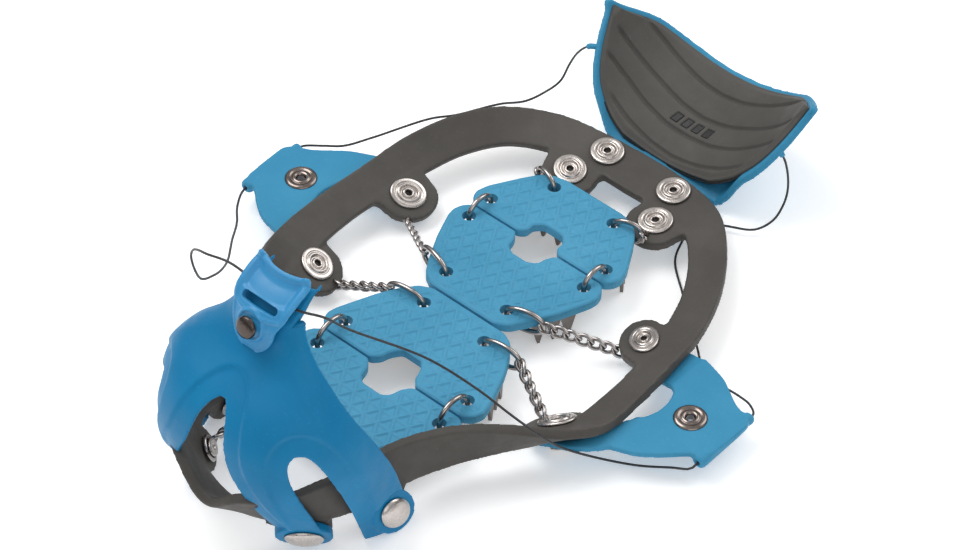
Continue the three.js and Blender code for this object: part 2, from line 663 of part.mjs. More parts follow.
// ---------------------------------------------------------------- sole plates and spike plates
const REAR_X = -3;
const REAR_SEAM = 65.5;
const FRONT_X = 2;
const FRONT_SEAM = -27.7;
const SEAM_GAP = 0.5;
const PLATE_MID = PLATE_Z + PLATE_T / 2;
const HALVES = {
  rear_front: {
    x: REAR_X,
    out: [[17, 19.3], [22.5, 22.5], [27, 29.5], [33.5, 42], [38.3, 54], [39, 58], [37.8, 62], [35, REAR_SEAM - SEAM_GAP]],
    hole: [[11, REAR_SEAM - SEAM_GAP], [8.7, 61.5], [7.8, 57], [4, 54.6]],
    rings: [[16.3, 28.2], [31, 58.65]],
    teeth: [[[25.2, 33], [34, 50]]],
    cross: [[-17, 46], [17, 46]],
  },
  rear_back: {
    x: REAR_X,
    out: [[35, REAR_SEAM + SEAM_GAP], [37.8, 68.8], [39, 72.5], [37.5, 78], [30, 91], [26, 97], [21, 100.7], [15, 102]],
    hole: [[11, REAR_SEAM + SEAM_GAP], [8, 68.5], [8.2, 72.5], [5, 75.8]],
    rings: [[16, 95], [31, 72.35]],
    teeth: [[[34.6, 78.5], [26.6, 91]]],
    cross: [[-16, 84], [16, 84]],
  },
  front_back: {
    x: FRONT_X,
    out: [[36.5, FRONT_SEAM + SEAM_GAP], [40.2, -24.5], [41.8, -20], [40.5, -15], [34, 1], [29, 10], [24.5, 15.5], [19, 18.2]],
    hole: [[12, FRONT_SEAM + SEAM_GAP], [9, -24], [8, -20], [5, -15.6]],
    rings: [[16.2, 9.1], [32.6, -19.4]],
    teeth: [[[37, -12], [29.5, 5]]],
    cross: [[-17, -5], [17, -5]],
  },
  front_front: {
    x: FRONT_X,
    out: [[36.5, FRONT_SEAM - SEAM_GAP], [40.2, -31], [41.8, -35.5], [40, -41], [33, -56], [27, -66], [22, -71.5], [15, -73.5]],
    hole: [[12, FRONT_SEAM - SEAM_GAP], [9, -32], [7.8, -37], [5, -39.5]],
    rings: [[16.2, -64.5], [32.6, -36]],
    teeth: [[[37.2, -43.5], [29.4, -58.5]]],
    cross: [[-17, -51], [17, -51]],
  },
};
// whole outline of a half plate from its right outer edge and the right side of its middle hole
function mirrored(out, hole, x) {
  const outer = Math.abs(out[0][1] - hole[0][1]) < 0.5 ? [...out].reverse() : out;
  const right = [...outer, ...hole];
  const left = right.map(([a, b]) => [-a, b]).reverse();
  const ring = [...right, ...left].map(([a, b]) => [a + x, b]);
  return THREE.ShapeUtils.area(ring.map(([a, b]) => new THREE.Vector2(a, b))) < 0 ? ring.reverse() : ring;
}
function halfPlate(half) {
  const holes = half.rings.flatMap(([x, y]) => [circle(half.x + x, y, 2.9, 12), circle(half.x - x, y, 2.9, 12)]);
  return plate(mirrored(half.out, half.hole, half.x), PLATE_Z, PLATE_Z + PLATE_T, holes);
}
// row of downward teeth standing on a line, with the strip of plate they hang from
function teethRow(a, b, count, top) {
  const length = Math.hypot(b[0] - a[0], b[1] - a[1]);
  const pitch = length / count;
  const outline = [[0, top], [0, top - STEEL_T - 1]];
  for (let i = 0; i < count; i += 1) {
    outline.push([pitch * (i + 0.5) - 0.5, 0.2], [pitch * (i + 0.5) + 0.5, 0.2]);
    outline.push([pitch * (i + 1), top - STEEL_T - 1]);
  }
  outline.push([length, top]);
  const strip = plate(outline, -STEEL_T / 2, STEEL_T / 2);
  strip.rotateX(Math.PI / 2);
  strip.rotateZ(Math.atan2(b[1] - a[1], b[0] - a[0]));
  strip.translate(a[0], a[1], 0);
  return solid(strip);
}
function spikePlate(half) {
  const top = PLATE_Z - GAP;
  const inset = (list, by) => list.map(([x, y]) => [x - by, y]);
  const cy = half.out.reduce((sum, p) => sum + p[1], 0) / half.out.length;
  const out = inset(half.out, 3).map(([x, y]) => [x, cy + (y - cy) * 0.84]);
  const hole = half.hole.map(([x, y]) => [x + 3, cy + (y - cy) * 0.84]);
  let body = solid(plate(mirrored(out, hole, half.x), top - STEEL_T, top));
  for (const [a, b] of half.teeth) {
    body = body.add(teethRow([half.x + a[0], a[1]], [half.x + b[0], b[1]], 3, top));
    body = body.add(teethRow([half.x - a[0], a[1]], [half.x - b[0], b[1]], 3, top));
  }
  const [l, r] = half.cross;
  body = body.add(teethRow([half.x + l[0], l[1]], [half.x + r[0], r[1]], 4, top));
  for (const [x, y] of half.rings) {
    for (const sign of [1, -1]) {
      const cut = new THREE.BoxGeometry(13, 9.5, 20);
      const toward = y > cy ? 1 : -1;
      cut.translate(half.x + sign * (x + 2.8), y + toward * 0.8, PLATE_Z);
      body = body.subtract(solid(cut));
    }
  }
  return body;
}
for (const [name, half] of Object.entries(HALVES)) {
  add(`plate_${name}`, halfPlate(half), LIGHT_BLUE, 0.6, 0);
}
for (const [name, half] of Object.entries(HALVES)) {
  const body = spikePlate(half);
  add(`spikes_${name}`, shape(body), SPIKE_STEEL, 0.45, 0.8);
}

// rings that join the two halves of each plate, round the fold line
for (const [name, x, reach, seam, radius] of [
  ['rear', REAR_X, 31, REAR_SEAM, 6.85], ['front', FRONT_X, 32.6, FRONT_SEAM, 8.3]]) {
  for (const [side, sign] of [['left', -1], ['right', 1]]) {
    const centre = V(x + sign * reach, seam, PLATE_MID);
    const ring = wireRing(centre, Y, Z, radius, radius, RING_WIRE_R, 6, 16);
    add(`plate_ring_${name}_${side}`, outward(ring), STEEL, 0.3, 0.9);
  }
}


// ---------------------------------------------------------------- chains
const LINK_PITCH = 6.4;
const EYE_R = 4.6;
const CORNER_RA = 8.2;
const CORNER_RB = 5.2;

// centres and directions of links along a path, with the path trimmed to the two hooks
function linkStops(points, count) {
  const path = points.length > 2
    ? new THREE.CatmullRomCurve3(points, false, 'centripetal')
    : new THREE.LineCurve3(points[0], points[1]);
  return Array.from({ length: count }, (_, i) => {
    const u = (i + 0.5) / count;
    return { p: path.getPointAt(u), d: path.getTangentAt(u), pitch: path.getLength() / count };
  });
}
function link(stop, turn) {
  const side = Z.clone().addScaledVector(stop.d, -Z.dot(stop.d)).normalize();
  side.applyAxisAngle(stop.d, turn);
  const ring = wireRing(stop.p, stop.d, side, stop.pitch / 2 + 0.64, 1.75, WIRE_R, 4, 8);
  return solid(outward(ring));
}
function eye(frame, depth) {
  const centre = at(frame, 0, 0, depth);
  return solid(outward(wireRing(centre, frame.t, frame.c, EYE_R, EYE_R, WIRE_R, 4, 10)));
}
// point on the rim of an eye, toward a bearing in the lobe's own plane
function rim(frame, depth, t, c, radius = EYE_R) {
  const s = radius / Math.hypot(t, c);
  return at(frame, t * s, c * s, depth);
}
function cornerRing(centre, dir, ra) {
  return solid(outward(wireRing(centre, dir, Z, ra, CORNER_RB, RING_WIRE_R, 5, 12)));
}
function cornerHole(half, side, index) {
  const [x, y] = HALVES[half].rings[index];
  return V(HALVES[half].x + side * x, y, PLATE_MID);
}
const eyeDepth = -(LOBE_T + GAP + ARM_T + GAP + EYE_T / 2);
const innerDepth = HEAD + EYE_T / 2;


// the room a rivet takes, so that links beside it stay clear
function rivetRoom(frame, low, high) {
  return clearance(frame, low - 3, high + 3, SHANK_R + GAP)
    .add(clearance(frame, low - 3, low, 4.6 + GAP))
    .add(clearance(frame, high, high + 3, 4.6 + GAP));
}
function branch(frame, depth, end, count) {
  const centre = at(frame, 0, 0, depth);
  const to = end.clone().sub(centre);
  const hook = rim(frame, depth, to.dot(frame.t), to.dot(frame.c));
  const away = end.clone().sub(hook);
  const start = end.clone().add(away.clone().setLength(0.9));
  const stop = hook.clone().add(away.clone().setLength(-0.2));
  const stops = linkStops([start, stop], count);
  let body = eye(frame, depth);
  stops.forEach((s, i) => {
    body = body.add(link(s, i % 2 ? 0.65 : -0.65));
    const room = new THREE.CylinderGeometry(2.9, 2.9, s.pitch + 4, 8);
    room.applyQuaternion(new THREE.Quaternion().setFromUnitVectors(Y, s.d));
    room.translate(s.p.x, s.p.y, s.p.z);
    cuts.push(solid(room));
  });
  cuts.push(solid(place(plate(circle(0, 0, EYE_R + WIRE_R + 0.4, 10), depth - 1.15, depth + 1.15), frame)));
  return body;
}

// name, plate corner, heading and reach of the corner ring, then lobe, eye depth and link count a branch
const cuts = [];
const CHAINS = [
  ['chain_right_2', 'rear_front', 1, [0.97, 0.24], 8.4, [[SIDE_LOBES.right_2, eyeDepth, 4]]],
  ['chain_left_2', 'rear_front', -1, [-0.97, 0.26], 8.4, [[SIDE_LOBES.left_2, eyeDepth, 4]]],
  ['chain_right_1', 'front_back', 1, [0.99, 0.09], 8.8, [[SIDE_LOBES.right_1, eyeDepth, 4]]],
  ['chain_left_1', 'front_back', -1, [-0.99, -0.1], 8.8, [[SIDE_LOBES.left_1, eyeDepth, 4]]],
  ['chain_right_3', 'rear_back', 1, [0.95, 0.31], 6.4, [[SIDE_LOBES.right_3, eyeDepth, 2]]],
  ['chain_left_3', 'rear_back', -1, [-0.95, 0.31], 6.4, [[SIDE_LOBES.left_3, eyeDepth, 2]]],
  ['chain_toe_right', 'front_front', 1, [0.83, -0.55], 8.4,
    [[TOE_LOBES.right_rear, innerDepth, 1], [TOE_LOBES.right_front, innerDepth, 4]]],
  ['chain_toe_left', 'front_front', -1, [-0.83, -0.55], 8.4,
    [[TOE_LOBES.left_rear, innerDepth, 1], [TOE_LOBES.left_front, innerDepth, 4]]],
];
for (const [name, half, side, heading, reach, branches] of CHAINS) {
  const dir = V(heading[0], heading[1], 0).normalize();
  const centre = cornerHole(half, side, 0).addScaledVector(dir, reach);
  const end = centre.clone().addScaledVector(dir, reach);
  let body = cornerRing(centre, dir, reach);
  cuts.push(solid(outward(wireRing(centre, dir, Z, reach, CORNER_RB, RING_WIRE_R + GAP, 6, 12))));
  for (const [frame, depth, count] of branches) {
    body = body.add(branch(frame, depth, end, count));
    body = body.subtract(rivetRoom(frame, depth - EYE_T / 2 - GAP, depth + EYE_T / 2 + GAP));
  }
  add(name, shape(main(body, 0.12)), STEEL, 0.3, 0.9);
}

// ---------------------------------------------------------------- heel shell, pad and dial
const CUP_R = 64.1;
const CUP_TAPER = -0.153;
const CUP_ORIGIN = V(0.6, 166.2, 18);
const CUP_LAY = 78 * Math.PI / 180;
const CUP_TURN = -2.1 * Math.PI / 180;
const CUP_ROLL = -5 * Math.PI / 180;
const CUP_HALF = 63.7;
const lay = new THREE.Matrix4().set(
  1, 0, 0, 0,
  0, Math.cos(CUP_LAY), Math.sin(CUP_LAY), 0,
  0, -Math.sin(CUP_LAY), Math.cos(CUP_LAY), 0,
  0, 0, 0, 1,
);
const cupMatrix = new THREE.Matrix4().makeTranslation(CUP_ORIGIN.x, CUP_ORIGIN.y, CUP_ORIGIN.z)
  .multiply(new THREE.Matrix4().makeRotationZ(CUP_TURN))
  .multiply(new THREE.Matrix4().makeRotationY(CUP_ROLL))
  .multiply(lay);
// u along the curve, v up the heel, w outward from the pad's inner face
function cupPoint(u, v, w) {
  const angle = u / CUP_R;
  const reach = CUP_R + CUP_TAPER * v + w;
  return V(reach * Math.sin(angle), reach * Math.cos(angle) - CUP_R, v).applyMatrix4(cupMatrix);
}
const smooth = (x) => {
  const c = Math.min(1, Math.max(0, x));
  return c * c * (3 - 2 * c);
};
function cupLow(u) {
  const q = (u / 50) ** 2;
  return Math.max(-22.5, -25.1 + 11.6 * q + 6.4 * q * q);
}
function cupHigh(u) {
  const q = (u / 50) ** 2;
  return 26.2 + 0.05 * q - 4.15 * q * q;
}
function cupGrid(w, edge, cols, rows, tongue) {
  const grid = [];
  const reachU = CUP_HALF + edge;
  for (let i = 0; i <= rows; i += 1) {
    grid.push(Array.from({ length: cols + 1 }, (_, j) => {
      const u = -reachU + 2 * reachU * (j / cols);
      const inside = Math.max(-CUP_HALF, Math.min(CUP_HALF, u));
      const low = tongue && Math.abs(u) < 29 ? -24.6 : cupLow(inside) - edge;
      const v = low + (cupHigh(inside) + edge - low) * (i / rows);
      const p = cupPoint(u, v, w);
      if (!tongue) return p;
      // near its root the shell flattens on to the strap's line
      const share = smooth((-10 - v) / 14.6) * smooth((44 - Math.abs(u)) / 14);
      const lift = w - PAD_T - GAP - CUP_T / 2;
      const flat = V(p.x, CUP_HINGE_Y + 0.3 + (v + 24.6) * 0.98, ROOT_Z - lift + (v + 24.6) * 0.2);
      return p.lerp(flat, share);
    }));
  }
  return grid;
}
function wall(outer, inner) {
  const body = solid(shell(outer, inner));
  return body.volume() > 0 ? body : solid(shell(inner, outer));
}
const pad = wall(cupGrid(0, 0, 18, 5, false), cupGrid(PAD_T, 0, 18, 5, false));
const SHELL_LOW = PAD_T + GAP;
let shellBody = wall(cupGrid(SHELL_LOW, 3, 22, 7, true), cupGrid(SHELL_LOW + CUP_T, 3, 22, 7, true));
const shellRoom = wall(cupGrid(SHELL_LOW - GAP, 3.4, 22, 7, true), cupGrid(SHELL_LOW + CUP_T + GAP, 3.4, 22, 7, true));

// the dial stands on the shell's outer face; its frame points out of the shell
const DIAL_V = 13;
const dialO = cupPoint(0, DIAL_V, SHELL_LOW + CUP_T);
const dialN = cupPoint(0, DIAL_V, 20).sub(cupPoint(0, DIAL_V, 0)).normalize();
const dialT = V(1, 0, 0).addScaledVector(dialN, -dialN.x).normalize();
const DIAL = { o: dialO, t: dialT, c: dialN.clone().cross(dialT), n: dialN };
const turned = (profile, segments = 18) => place(lathe(profile, segments), DIAL);
const baseRaw = solid(turned([
  [0, -2.2], [13, -2.2], [13.4, 1], [12.8, 5], [9.4, 5], [9.4, 1.6], [1.7, 1.6], [1.7, 5.9], [0, 5.9],
]));
const ports = [1, -1].map((sign) => {
  const bore = new THREE.CylinderGeometry(0.9, 0.9, 8, 8);
  bore.rotateZ(Math.PI / 2);
  bore.translate(sign * 11.4, 0, 3.3);
  return solid(place(bore, DIAL));
});
add('heel_cup', shape(main(shellBody)), LIGHT_BLUE, 0.6, 0);
add('heel_pad', shape(main(pad)), PAD_GREY, 0.8, 0);
add('dial_base', shape(main(baseRaw.subtract(shellRoom).subtract(ports[0]).subtract(ports[1]))), BLACK, 0.5, 0);
add('dial_spool', turned([
  [2, 1.9], [8.9, 1.9], [8.9, 2.5], [6.4, 2.7], [6.4, 3.9], [8.9, 4.1], [8.9, 4.7], [2, 4.7], [2, 1.9],
]), BLACK, 0.5, 0);
add('dial_drive', turned([[2, 5], [8.9, 5], [8.9, 6.1], [2, 6.1], [2, 5]]), GUNMETAL, 0.4, 0.6);
add('dial_knob', turned([
  [1.7, 6.4], [9.3, 6.4], [9.3, 5.3], [11.4, 5.3], [11.4, 10.3], [10.6, 11.2], [3.2, 11.2], [3.2, 10.1], [1.7, 10.1],
  [1.7, 6.4],
]), BLACK, 0.45, 0);
const gripOutline = Array.from({ length: 40 }, (_, i) => {
  const angle = (i / 40) * Math.PI * 2;
  const r = i % 2 ? 13 : 12.4;
  return [r * Math.cos(angle), r * Math.sin(angle)];
});
add('knob_grip', place(plate(gripOutline, 5.5, 10.4, [circle(0, 0, 11.7, 18).reverse()]), DIAL), PAD_GREY, 0.8, 0);
add('dial_screw', turned([[0, 6.3], [1.4, 6.3], [1.4, 10.4], [2.9, 10.4], [2.9, 11.1], [0, 11.1]], 12), STEEL, 0.3, 0.9);

// ---------------------------------------------------------------- laces
const LACES = {
  lace_cup_left: [
    [-119, 44.5, 10.6], [-119, 48.5, 10.5], [-113.5, 55.5, 9.3], [-108, 62, 8.2], [-103.8, 76, 6], [-95.1, 102.5, 4],
    [-89.2, 112.5, 3], [-79.8, 130.3, 3], [-73, 138.9, 3], [-69.7, 148.2, 4], [-66.6, 154.5, 8], [-65.6, 159, 15],
    [-62.2, 160, 23], [-58.5, 160.5, 28], [-55.9, 160.8, 30.2],
  ],
  lace_toe_left: [
    [-119, 17, 10.6], [-118.6, 12, 10.5], [-113, 3, 11.5], [-104.9, -5.4, 14], [-93.1, -20, 22], [-80.8, -34.5, 30],
    [-71.3, -47.1, 40], [-64, -58.6, 50], [-58.6, -70.1, 60], [-53.1, -78.7, 75], [-49.9, -83.2, 88],
    [-46.4, -85.2, 95], [-41.2, -87.4, 100], [-34.2, -89.5, 104], [-23.8, -88.5, 106], [-13.5, -89.2, 106.2],
    [-9, -91, 106.3], [-4, -93, 106.4],
  ],
  lace_toe_right: [
    [-3.3, -93.1, 106.4], [4, -93, 106.4], [9, -91, 106.3], [14.8, -89.2, 106.2], [20.2, -84.5, 103.8],
    [20.5, -70, 86], [33.8, -40.3, 56], [49.5, -29.1, 41], [63, -26.3, 35], [75.1, -25.5, 33], [79.4, -17.3, 22],
    [86.5, -1, 7], [98.8, 9, 3.5], [110.5, 14.5, 6.5], [118.7, 16.5, 10.3], [119, 19.6, 10.6], [119, 23.5, 10.6],
  ],
  lace_cup_right: [
    [119, 51, 10.6], [119, 54.8, 10.5], [113.5, 59.5, 8.8], [107, 61.5, 7.2], [89.4, 62.6, 6.5], [75.3, 73.9, 4],
    [62, 86, 2.5], [49.2, 96.3, 1.5], [36, 108, 1.2], [31.9, 116.1, 1.5], [29.7, 128.6, 2.5], [38.1, 135.8, 3],
    [50.1, 142.7, 3.5], [53.2, 151, 5], [53.2, 157, 9], [52.7, 160, 14], [51.6, 161, 22], [49.6, 160.6, 30],
    [47.9, 160.1, 33.2],
  ],
};
for (const [name, points] of Object.entries(LACES)) {
  const run = new THREE.CatmullRomCurve3(points.map((p) => V(...p)), false, 'centripetal');
  add(name, tube(run, LACE_R, 8, 30), BLACK, 0.7, 0);
}

// ---------------------------------------------------------------- finish the moulded pieces
for (const [name, body, color] of SOFT) {
  let done = body;
  for (const cut of cuts) done = done.subtract(cut);
  add(name, shape(main(done.trimByPlane([0, 0, 1], FLOOR))), color, 0.6, 0);
}

// ---------------------------------------------------------------- origin: under the middle of the whole
const extent = new THREE.Box3();
for (const piece of pieces) {
  piece.geometry.computeBoundingBox();
  extent.union(piece.geometry.boundingBox);
}
const middle = extent.getCenter(V(0, 0, 0));
for (const piece of pieces) piece.geometry.translate(-middle.x, -middle.y, -extent.min.z);

export default root;
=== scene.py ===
"""Microspikes for one boot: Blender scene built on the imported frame, in metres."""
import math
import bpy
import numpy as np
from mathutils import Matrix, Vector


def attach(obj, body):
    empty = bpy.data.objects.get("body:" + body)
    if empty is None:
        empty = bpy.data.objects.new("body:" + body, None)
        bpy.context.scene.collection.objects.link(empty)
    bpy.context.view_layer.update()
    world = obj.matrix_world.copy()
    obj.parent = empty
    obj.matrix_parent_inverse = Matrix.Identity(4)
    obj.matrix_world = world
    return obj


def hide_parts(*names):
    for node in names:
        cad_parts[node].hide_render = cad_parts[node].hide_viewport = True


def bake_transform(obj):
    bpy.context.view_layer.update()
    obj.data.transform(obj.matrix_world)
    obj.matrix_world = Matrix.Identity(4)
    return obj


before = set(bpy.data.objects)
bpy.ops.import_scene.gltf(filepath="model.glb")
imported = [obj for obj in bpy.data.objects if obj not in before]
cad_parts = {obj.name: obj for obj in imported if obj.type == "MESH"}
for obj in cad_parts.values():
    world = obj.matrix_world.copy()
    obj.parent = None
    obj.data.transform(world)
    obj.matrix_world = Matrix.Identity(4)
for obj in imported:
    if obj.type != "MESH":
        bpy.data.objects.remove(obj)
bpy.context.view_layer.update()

MM = 0.001
ORIGIN = np.array([0.0, 31.6946, 0.1976])    # from the drawing's origin to the frame's, in mm

# driving dimensions, mm
GAP = 0.3
BAND_T = 4.2
BAND_LIFT = 1.5
LOBE_R = 12.6
TOE_LOBE_R = 10.6
LOBE_T = 4.5
LOBE_TOP = 0.25
HEAD = LOBE_TOP + GAP
HOOD_T = 3.8
ARM_T = 2.5
EYE_T = 1.8
RIVET_R = 7.4
SHANK_R = 2.6
SHANK_BORE = SHANK_R + 0.15
WIRE_R = 0.85
RING_WIRE_R = 1.1
LACE_R = 0.5
PLATE_T = 4.4
PLATE_Z = 13.2
CUP_T = 2.6
PAD_T = 3.0
TOE_OUT = LOBE_T + GAP + HOOD_T
ARM_DEPTH = -LOBE_T - GAP - ARM_T / 2
ARM_END_R = 9.8


# ---------------------------------------------------------------- camera, lights and floor
AIM = Vector(((0 - ORIGIN[0]) * MM, (0 - ORIGIN[1]) * MM, (12 - ORIGIN[2]) * MM))
AZIMUTH = math.radians(42)
ELEVATION = math.radians(46)
DISTANCE = 1.5
LENS = 138.04
SHIFT = (0.0552147, 0.0674847)
# name, place, size and power, in metres and watts
LAMPS = (
    ("key", (-0.75, -0.15, 1.35), 0.9, 12), ("fill", (1.3, -0.8, 1.0), 1.4, 5),
    ("rear", (0.3, 1.2, 1.1), 1.0, 7))
FLOOR_REACH = 6.0


def link_object(name, data):
    """A new object in the scene."""
    obj = bpy.data.objects.new(name, data)
    bpy.context.scene.collection.objects.link(obj)
    return obj


def place_camera():
    out = Vector((math.sin(AZIMUTH) * math.cos(ELEVATION), -math.cos(AZIMUTH) * math.cos(ELEVATION),
                  math.sin(ELEVATION)))
    data = bpy.data.cameras.new("camera")
    data.lens = LENS
    data.sensor_width = 36
    data.shift_x, data.shift_y = SHIFT
    data.clip_start = 0.05
    data.clip_end = 50
    camera = link_object("camera", data)
    camera.location = AIM + out * DISTANCE
    camera.rotation_euler = (-out).to_track_quat("-Z", "Y").to_euler()
    bpy.context.scene.camera = camera


def place_lamps():
    for name, place, size, power in LAMPS:
        light = bpy.data.lights.new(name, "AREA")
        light.energy = power
        light.size = size
        lamp = link_object(name, light)
        lamp.location = place
        lamp.rotation_euler = (AIM - Vector(place)).to_track_quat("-Z", "Y").to_euler()


def light_room():
    """A white studio, darker below, so that metal has something to mirror."""
    world = bpy.data.worlds.new("room")
    bpy.context.scene.world = world
    world.use_nodes = True
    nodes = world.node_tree.nodes
    links = world.node_tree.links
    back = nodes["Background"]
    back.inputs["Strength"].default_value = 0.62
    split = nodes.new("ShaderNodeSeparateXYZ")
    links.new(nodes.new("ShaderNodeTexCoord").outputs["Generated"], split.inputs["Vector"])
    shade = nodes.new("ShaderNodeValToRGB")
    stops = ((0.12, (0.16, 0.16, 0.17, 1)), (0.5, (1, 1, 1, 1)))
    for element, (at_height, color) in zip(shade.color_ramp.elements, stops):
        element.position = at_height
        element.color = color
    links.new(split.outputs["Z"], shade.inputs["Fac"])
    links.new(shade.outputs["Color"], back.inputs["Color"])


def lay_floor():
    floor = bpy.data.meshes.new("floor")
    corners = [(x * FLOOR_REACH, y * FLOOR_REACH, 0) for x, y in ((-1, -1), (1, -1), (1, 1), (-1, 1))]
    floor.from_pydata(corners, [], [(0, 1, 2, 3)])
    paper = bpy.data.materials.new("floor_paper")
    paper.use_nodes = True
    shader = paper.node_tree.nodes["Principled BSDF"]
    shader.inputs["Base Color"].default_value = (0.93, 0.93, 0.93, 1)
    shader.inputs["Roughness"].default_value = 0.9
    shader.inputs["Emission Color"].default_value = (1, 1, 1, 1)
    shader.inputs["Emission Strength"].default_value = 0.3
    floor.materials.append(paper)
    link_object("floor", floor)


place_camera()
place_lamps()
light_room()
lay_floor()
bpy.context.scene.view_settings.view_transform = "Standard"


# ---------------------------------------------------------------- mesh helpers
def vec(*xyz):
    return np.array(xyz, float)


X, Y, Z = np.eye(3)


def unit(v):
    return v / np.linalg.norm(v)


def frame_at(o, t, n):
    """A place with axes: t and c lie in its plane and n stands on it."""
    return {"o": o, "t": t, "c": np.cross(n, t), "n": n}


FLAT = frame_at(vec(0, 0, 0), X, Z)


def mesh_object(name, points, faces):
    """A smooth mesh from points in drawing millimetres."""
    mesh = bpy.data.meshes.new(name)
    metres = (np.asarray(points, float) - ORIGIN) * MM
    mesh.from_pydata(metres.tolist(), [], [tuple(int(i) for i in f) for f in faces])
    mesh.validate()
    mesh.polygons.foreach_set("use_smooth", [True] * len(mesh.polygons))
    mesh.update()
    return link_object(name, mesh)


def bake(obj):
    """Applies every modifier."""
    deps = bpy.context.evaluated_depsgraph_get()
    mesh = bpy.data.meshes.new_from_object(obj.evaluated_get(deps))
    old = obj.data
    obj.modifiers.clear()
    obj.data = mesh
    if old.users == 0:
        bpy.data.meshes.remove(old)
    mesh.polygons.foreach_set("use_smooth", [True] * len(mesh.polygons))
    return obj


def outward(obj):
    """Turns a closed mesh's faces outward."""
    mesh = obj.data
    mesh.calc_loop_triangles()
    co = np.empty(len(mesh.vertices) * 3)
    mesh.vertices.foreach_get("co", co)
    tri = np.empty(len(mesh.loop_triangles) * 3, int)
    mesh.loop_triangles.foreach_get("vertices", tri)
    a, b, c = (co.reshape(-1, 3)[corner] for corner in tri.reshape(-1, 3).T)
    if np.einsum("ij,ij->i", a, np.cross(b, c)).sum() < 0:
        mesh.flip_normals()
    return obj


def drop(obj):
    """Removes an object that has been used up."""
    mesh = obj.data
    bpy.data.objects.remove(obj)
    bpy.data.meshes.remove(mesh)


def join(name, objs):
    """One object holding several meshes."""
    points = []
    faces = []
    for obj in objs:
        base = len(points)
        points.extend([tuple(v.co) for v in obj.data.vertices])
        faces.extend([tuple(base + i for i in p.vertices) for p in obj.data.polygons])
        drop(obj)
    mesh = bpy.data.meshes.new(name)
    mesh.from_pydata(points, [], faces)
    mesh.polygons.foreach_set("use_smooth", [True] * len(mesh.polygons))
    mesh.update()
    return link_object(name, mesh)


def fuse(name, objs, voxel, rounds):
    """Overlapping closed meshes become one moulded body with softened edges."""
    for obj in objs:
        outward(obj)
    out = join(name, objs)
    remesh = out.modifiers.new("fuse", "REMESH")
    remesh.mode = "VOXEL"
    remesh.voxel_size = voxel * MM
    soften = out.modifiers.new("soften", "SMOOTH")
    soften.factor = 0.5
    soften.iterations = rounds
    return bake(out)


def carve(obj, cutter, mode="DIFFERENCE"):
    """Cuts one mesh with another, which is used up."""
    cut = obj.modifiers.new("carve", "BOOLEAN")
    cut.operation = mode
    cut.solver = "EXACT"
    cut.object = cutter
    bake(obj)
    drop(cutter)
    return obj


def at(f, t, c, n):
    """A point in a frame's own axes."""
    return f["o"] + f["t"] * t + f["c"] * c + f["n"] * n


def prism(name, outline, f, low, high):
    """An outline in the t, c plane of a frame, from n = low to n = high."""
    n = len(outline)
    points = [at(f, a, b, h) for h in (low, high) for a, b in outline]
    faces = [tuple(range(n - 1, -1, -1)), tuple(range(n, 2 * n))]
    faces += [(i, (i + 1) % n, n + (i + 1) % n, n + i) for i in range(n)]
    return outward(mesh_object(name, points, faces))


def shell(name, outer, inner):
    """A closed wall between two grids of points."""
    rows, cols = outer.shape[:2]
    points = np.concatenate([outer.reshape(-1, 3), inner.reshape(-1, 3)])
    a = np.arange(rows * cols).reshape(rows, cols)
    b = a + rows * cols
    faces = []

    def strip(p, q, r, s):
        faces.extend(np.stack([p.ravel(), q.ravel(), r.ravel(), s.ravel()], 1).tolist())

    strip(a[:-1, :-1], a[:-1, 1:], a[1:, 1:], a[1:, :-1])
    strip(b[:-1, :-1], b[1:, :-1], b[1:, 1:], b[:-1, 1:])
    strip(a[:-1, 0], a[1:, 0], b[1:, 0], b[:-1, 0])
    strip(a[:-1, -1], b[:-1, -1], b[1:, -1], a[1:, -1])
    strip(a[0, :-1], b[0, :-1], b[0, 1:], a[0, 1:])
    strip(a[-1, :-1], a[-1, 1:], b[-1, 1:], b[-1, :-1])
    return outward(mesh_object(name, points, faces))


def normals(grid):
    """The unit normal at each point of a grid."""
    du = np.gradient(grid, axis=1)
    dv = np.gradient(grid, axis=0)
    n = np.cross(du, dv)
    return n / np.linalg.norm(n, axis=2, keepdims=True)


def circle(count):
    """Evenly spaced angles round a turn."""
    return [2 * math.pi * k / count for k in range(count)]


def lathe(name, profile, f, segments=64):
    """A turned piece on a frame's n axis, from (radius, height) points that close on it or on themselves."""
    points = []
    rings = []
    for r, h in profile:
        count = 1 if r < 1e-6 else segments
        rings.append(range(len(points), len(points) + count))
        turns = circle(segments)[:count]
        points += [at(f, r * math.cos(a), r * math.sin(a), h) for a in turns]
    faces = []
    for low, high in zip(rings, rings[1:] + ([] if len(rings[0]) == 1 else [rings[0]])):
        for k in range(segments):
            j = (k + 1) % segments
            if len(low) == 1 and len(high) > 1:
                faces.append((low[0], high[j], high[k]))
            elif len(high) == 1 and len(low) > 1:
                faces.append((low[k], low[j], high[0]))
            elif len(low) > 1:
                faces.append((low[k], low[j], high[j], high[k]))
    return outward(mesh_object(name, points, faces))


def corner_points(p, q, s, radius, most, steps):
    """Points that round the corner q between p and s."""
    p, q, s = (np.array(corner, float) for corner in (p, q, s))
    a = unit(p - q) * min(radius, np.linalg.norm(p - q) * most)
    b = unit(s - q) * min(radius, np.linalg.norm(s - q) * most)
    return [tuple(q + a * (1 - k / steps) ** 2 + b * (k / steps) ** 2) for k in range(steps + 1)]


def soft_profile(corners, radius):
    """Rounds the inner corners of a lathe profile."""
    out = [corners[0]]
    for p, q, s in zip(corners, corners[1:], corners[2:]):
        out += corner_points(p, q, s, radius, 0.45, 3)
    return out + [corners[-1]]


